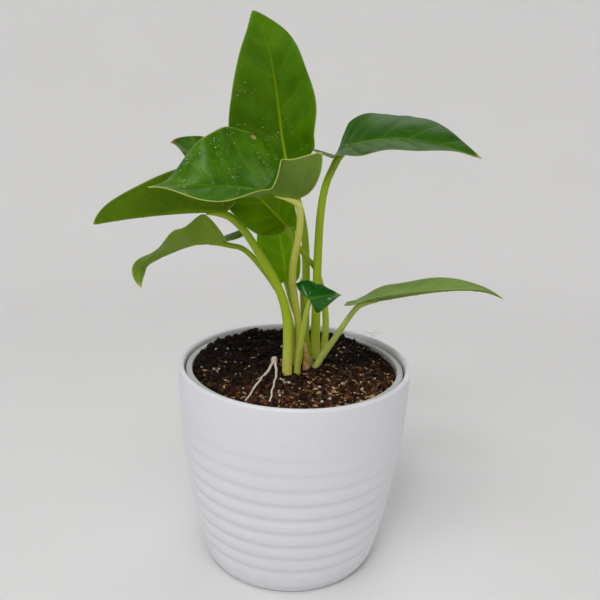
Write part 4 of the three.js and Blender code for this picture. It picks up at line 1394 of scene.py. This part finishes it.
def scale_piece(name, finish, node):
    """A flat pointed scale that stands in for a solid of the CAD model."""
    spine, half_width, half_thickness = SCALES[node]
    share = np.linspace(0, 1, 60)
    path = through(spine, share)
    width = half_width * (1 - 0.7 * share**2) * (1 - 0.9 * ease((share - 0.93) / 0.07))
    points, faces = rod(path, width, 20, half_thickness / half_width)
    stored = np.repeat(np.concatenate([[0], share, [1]]), 20)
    piece(name, points, faces, node, finish, [node], share=stored)


dry_husk = tissue_finish("dry_husk", colour(184, 112, 66), colour(246, 216, 160), 1.6, 0.7, thin=0.3)
scale_piece("husk_scale", dry_husk, "husk")
SHEATH_GREENS = colour(196, 200, 100), colour(140, 160, 10), colour(116, 146, 0)
scale_piece("sheath_scale", stalk_finish("sheath", *SHEATH_GREENS), "sheath")

# %% [markdown]
# A pale root tip stands out of the soil to the left of the crown, and two root strands run from it down
# over the surface. A strand rests on the highest crumbs of its way, so its height is a running maximum of
# the ground's height, smoothed by a running mean.

# %% Surface root
ROOT_TIP, ROOT_TIP_RADIUS, STRAND_RADIUS = (-11.9, 4.8), 1.9, 0.6
REACH = 7  # how many points to each side the maximum and the mean take in


def strand(places):
    """Points and faces of one strand, thickest where it leaves the tip."""
    share = np.linspace(0, 1, 90)
    path = strand_path(places, share)
    ground = soil_height(*path[:, :2].T)
    crest = np.array([ground[max(0, i - REACH):i + REACH + 1].max() for i in range(len(ground))])
    window = 2 * REACH + 1
    path[:, 2] = np.convolve(np.pad(crest, REACH, "edge"), np.ones(window) / window, "valid") + 0.2
    path[:, 2] += 1.6 * (1 - ease(share / 0.25))
    radius = STRAND_RADIUS * (1.3 - 0.5 * share) * (1 + 0.25 * noise_at(path, 2))
    return rod(path, radius, 12)


tip_points, tip_faces = ball(4)
seat = [*ROOT_TIP, SOIL_LEVEL + float(soil_relief(*ROOT_TIP)) + ROOT_TIP_RADIUS]
lumps = 1 + 0.12 * noise_at(tip_points, 0.5)[:, None]
tip_points = tip_points * lumps * [1, 1, 1.3] * ROOT_TIP_RADIUS + seat
points, faces = joined((tip_points, tip_faces), *[strand(places) for places in STRANDS])
pale_root = tissue_finish("pale_root", colour(206, 190, 176), colour(240, 230, 220), 1, 0.6)
piece("root_tip", points, faces, "root", pale_root, ["surface_root"])

# %% [markdown]
# The plant stands on a studio sweep: a pale floor that bends up all round, so that no edge shows from any
# side. A plane and a wall would leave a line behind the leaves.

# %% Floor
FLOOR_FLAT, FLOOR_REACH, SWEEP_HEIGHT = 500, 1100, 900
UNDER_PLANTER = 0.2


def sweep():
    """Points and faces of the floor, flat in the middle and steeper and steeper outside."""
    radius = np.concatenate([np.linspace(0, FLOOR_FLAT, 12), np.linspace(520, FLOOR_REACH, 24)])
    height = SWEEP_HEIGHT * np.clip((radius - FLOOR_FLAT) / (FLOOR_REACH - FLOOR_FLAT), 0, 1) ** 2.4
    return turned(np.stack([radius, height - UNDER_PLANTER], -1), 96)


def floor_finish():
    f = Finish("pale_floor")
    paint = f.mix(f.noise(200, 1), colour(222, 221, 220), colour(226, 225, 224))
    return f.done(f.gloss(Base_Color=paint, Roughness=0.6))


points, faces = sweep()
floor_mesh = bpy.data.meshes.new("floor")
floor_mesh.from_pydata(points * MM, [], [tuple(face) for face in faces])
floor_mesh.shade_smooth()
floor_mesh.materials.append(floor_finish())
floor = bpy.data.objects.new("floor", floor_mesh)
bpy.context.scene.collection.objects.link(floor)
print("the floor reaches", FLOOR_REACH, "mm out")

# %% [markdown]
# A large soft lamp from the upper left makes the main light. A small one beside it stands for a window,
# which gives wet leaves their highlights. Weaker lamps fill the shadows from the right and the left, and
# one behind the plant shines through the leaves. The world gives the rest, as the walls of a room do.

# %% Light
LOOKED_AT = Vector((0, 0, 0.16))


def lamp(name, place, size, power):
    """A square lamp that looks at the middle of the plant. Here places and sizes are in metres."""
    data = bpy.data.lights.new(name, "AREA")
    data.size, data.energy = size, power
    made = bpy.data.objects.new(name, data)
    made.location = place
    made.rotation_euler = (LOOKED_AT - Vector(place)).to_track_quat("-Z", "Y").to_euler()
    bpy.context.scene.collection.objects.link(made)


lamp("key", (-0.3, -0.8, 1.6), 1.2, 14)
lamp("window", (-0.2, -0.85, 1.15), 0.2, 2.2)
lamp("right_fill", (1.3, -0.6, 0.8), 1, 3.6)
lamp("left_fill", (-1.3, -0.4, 0.8), 1, 2.4)
lamp("behind", (0.3, 1.1, 1.3), 1, 6)

world = bpy.data.worlds.new("studio")
world.use_nodes = True
world.node_tree.nodes["Background"].inputs["Color"].default_value = colour(214, 216, 220)
world.node_tree.nodes["Background"].inputs["Strength"].default_value = 0.21
bpy.context.scene.world = world
bpy.context.scene.view_settings.view_transform = "Standard"
print(len(bpy.data.lights), "lamps")

# %% [markdown]
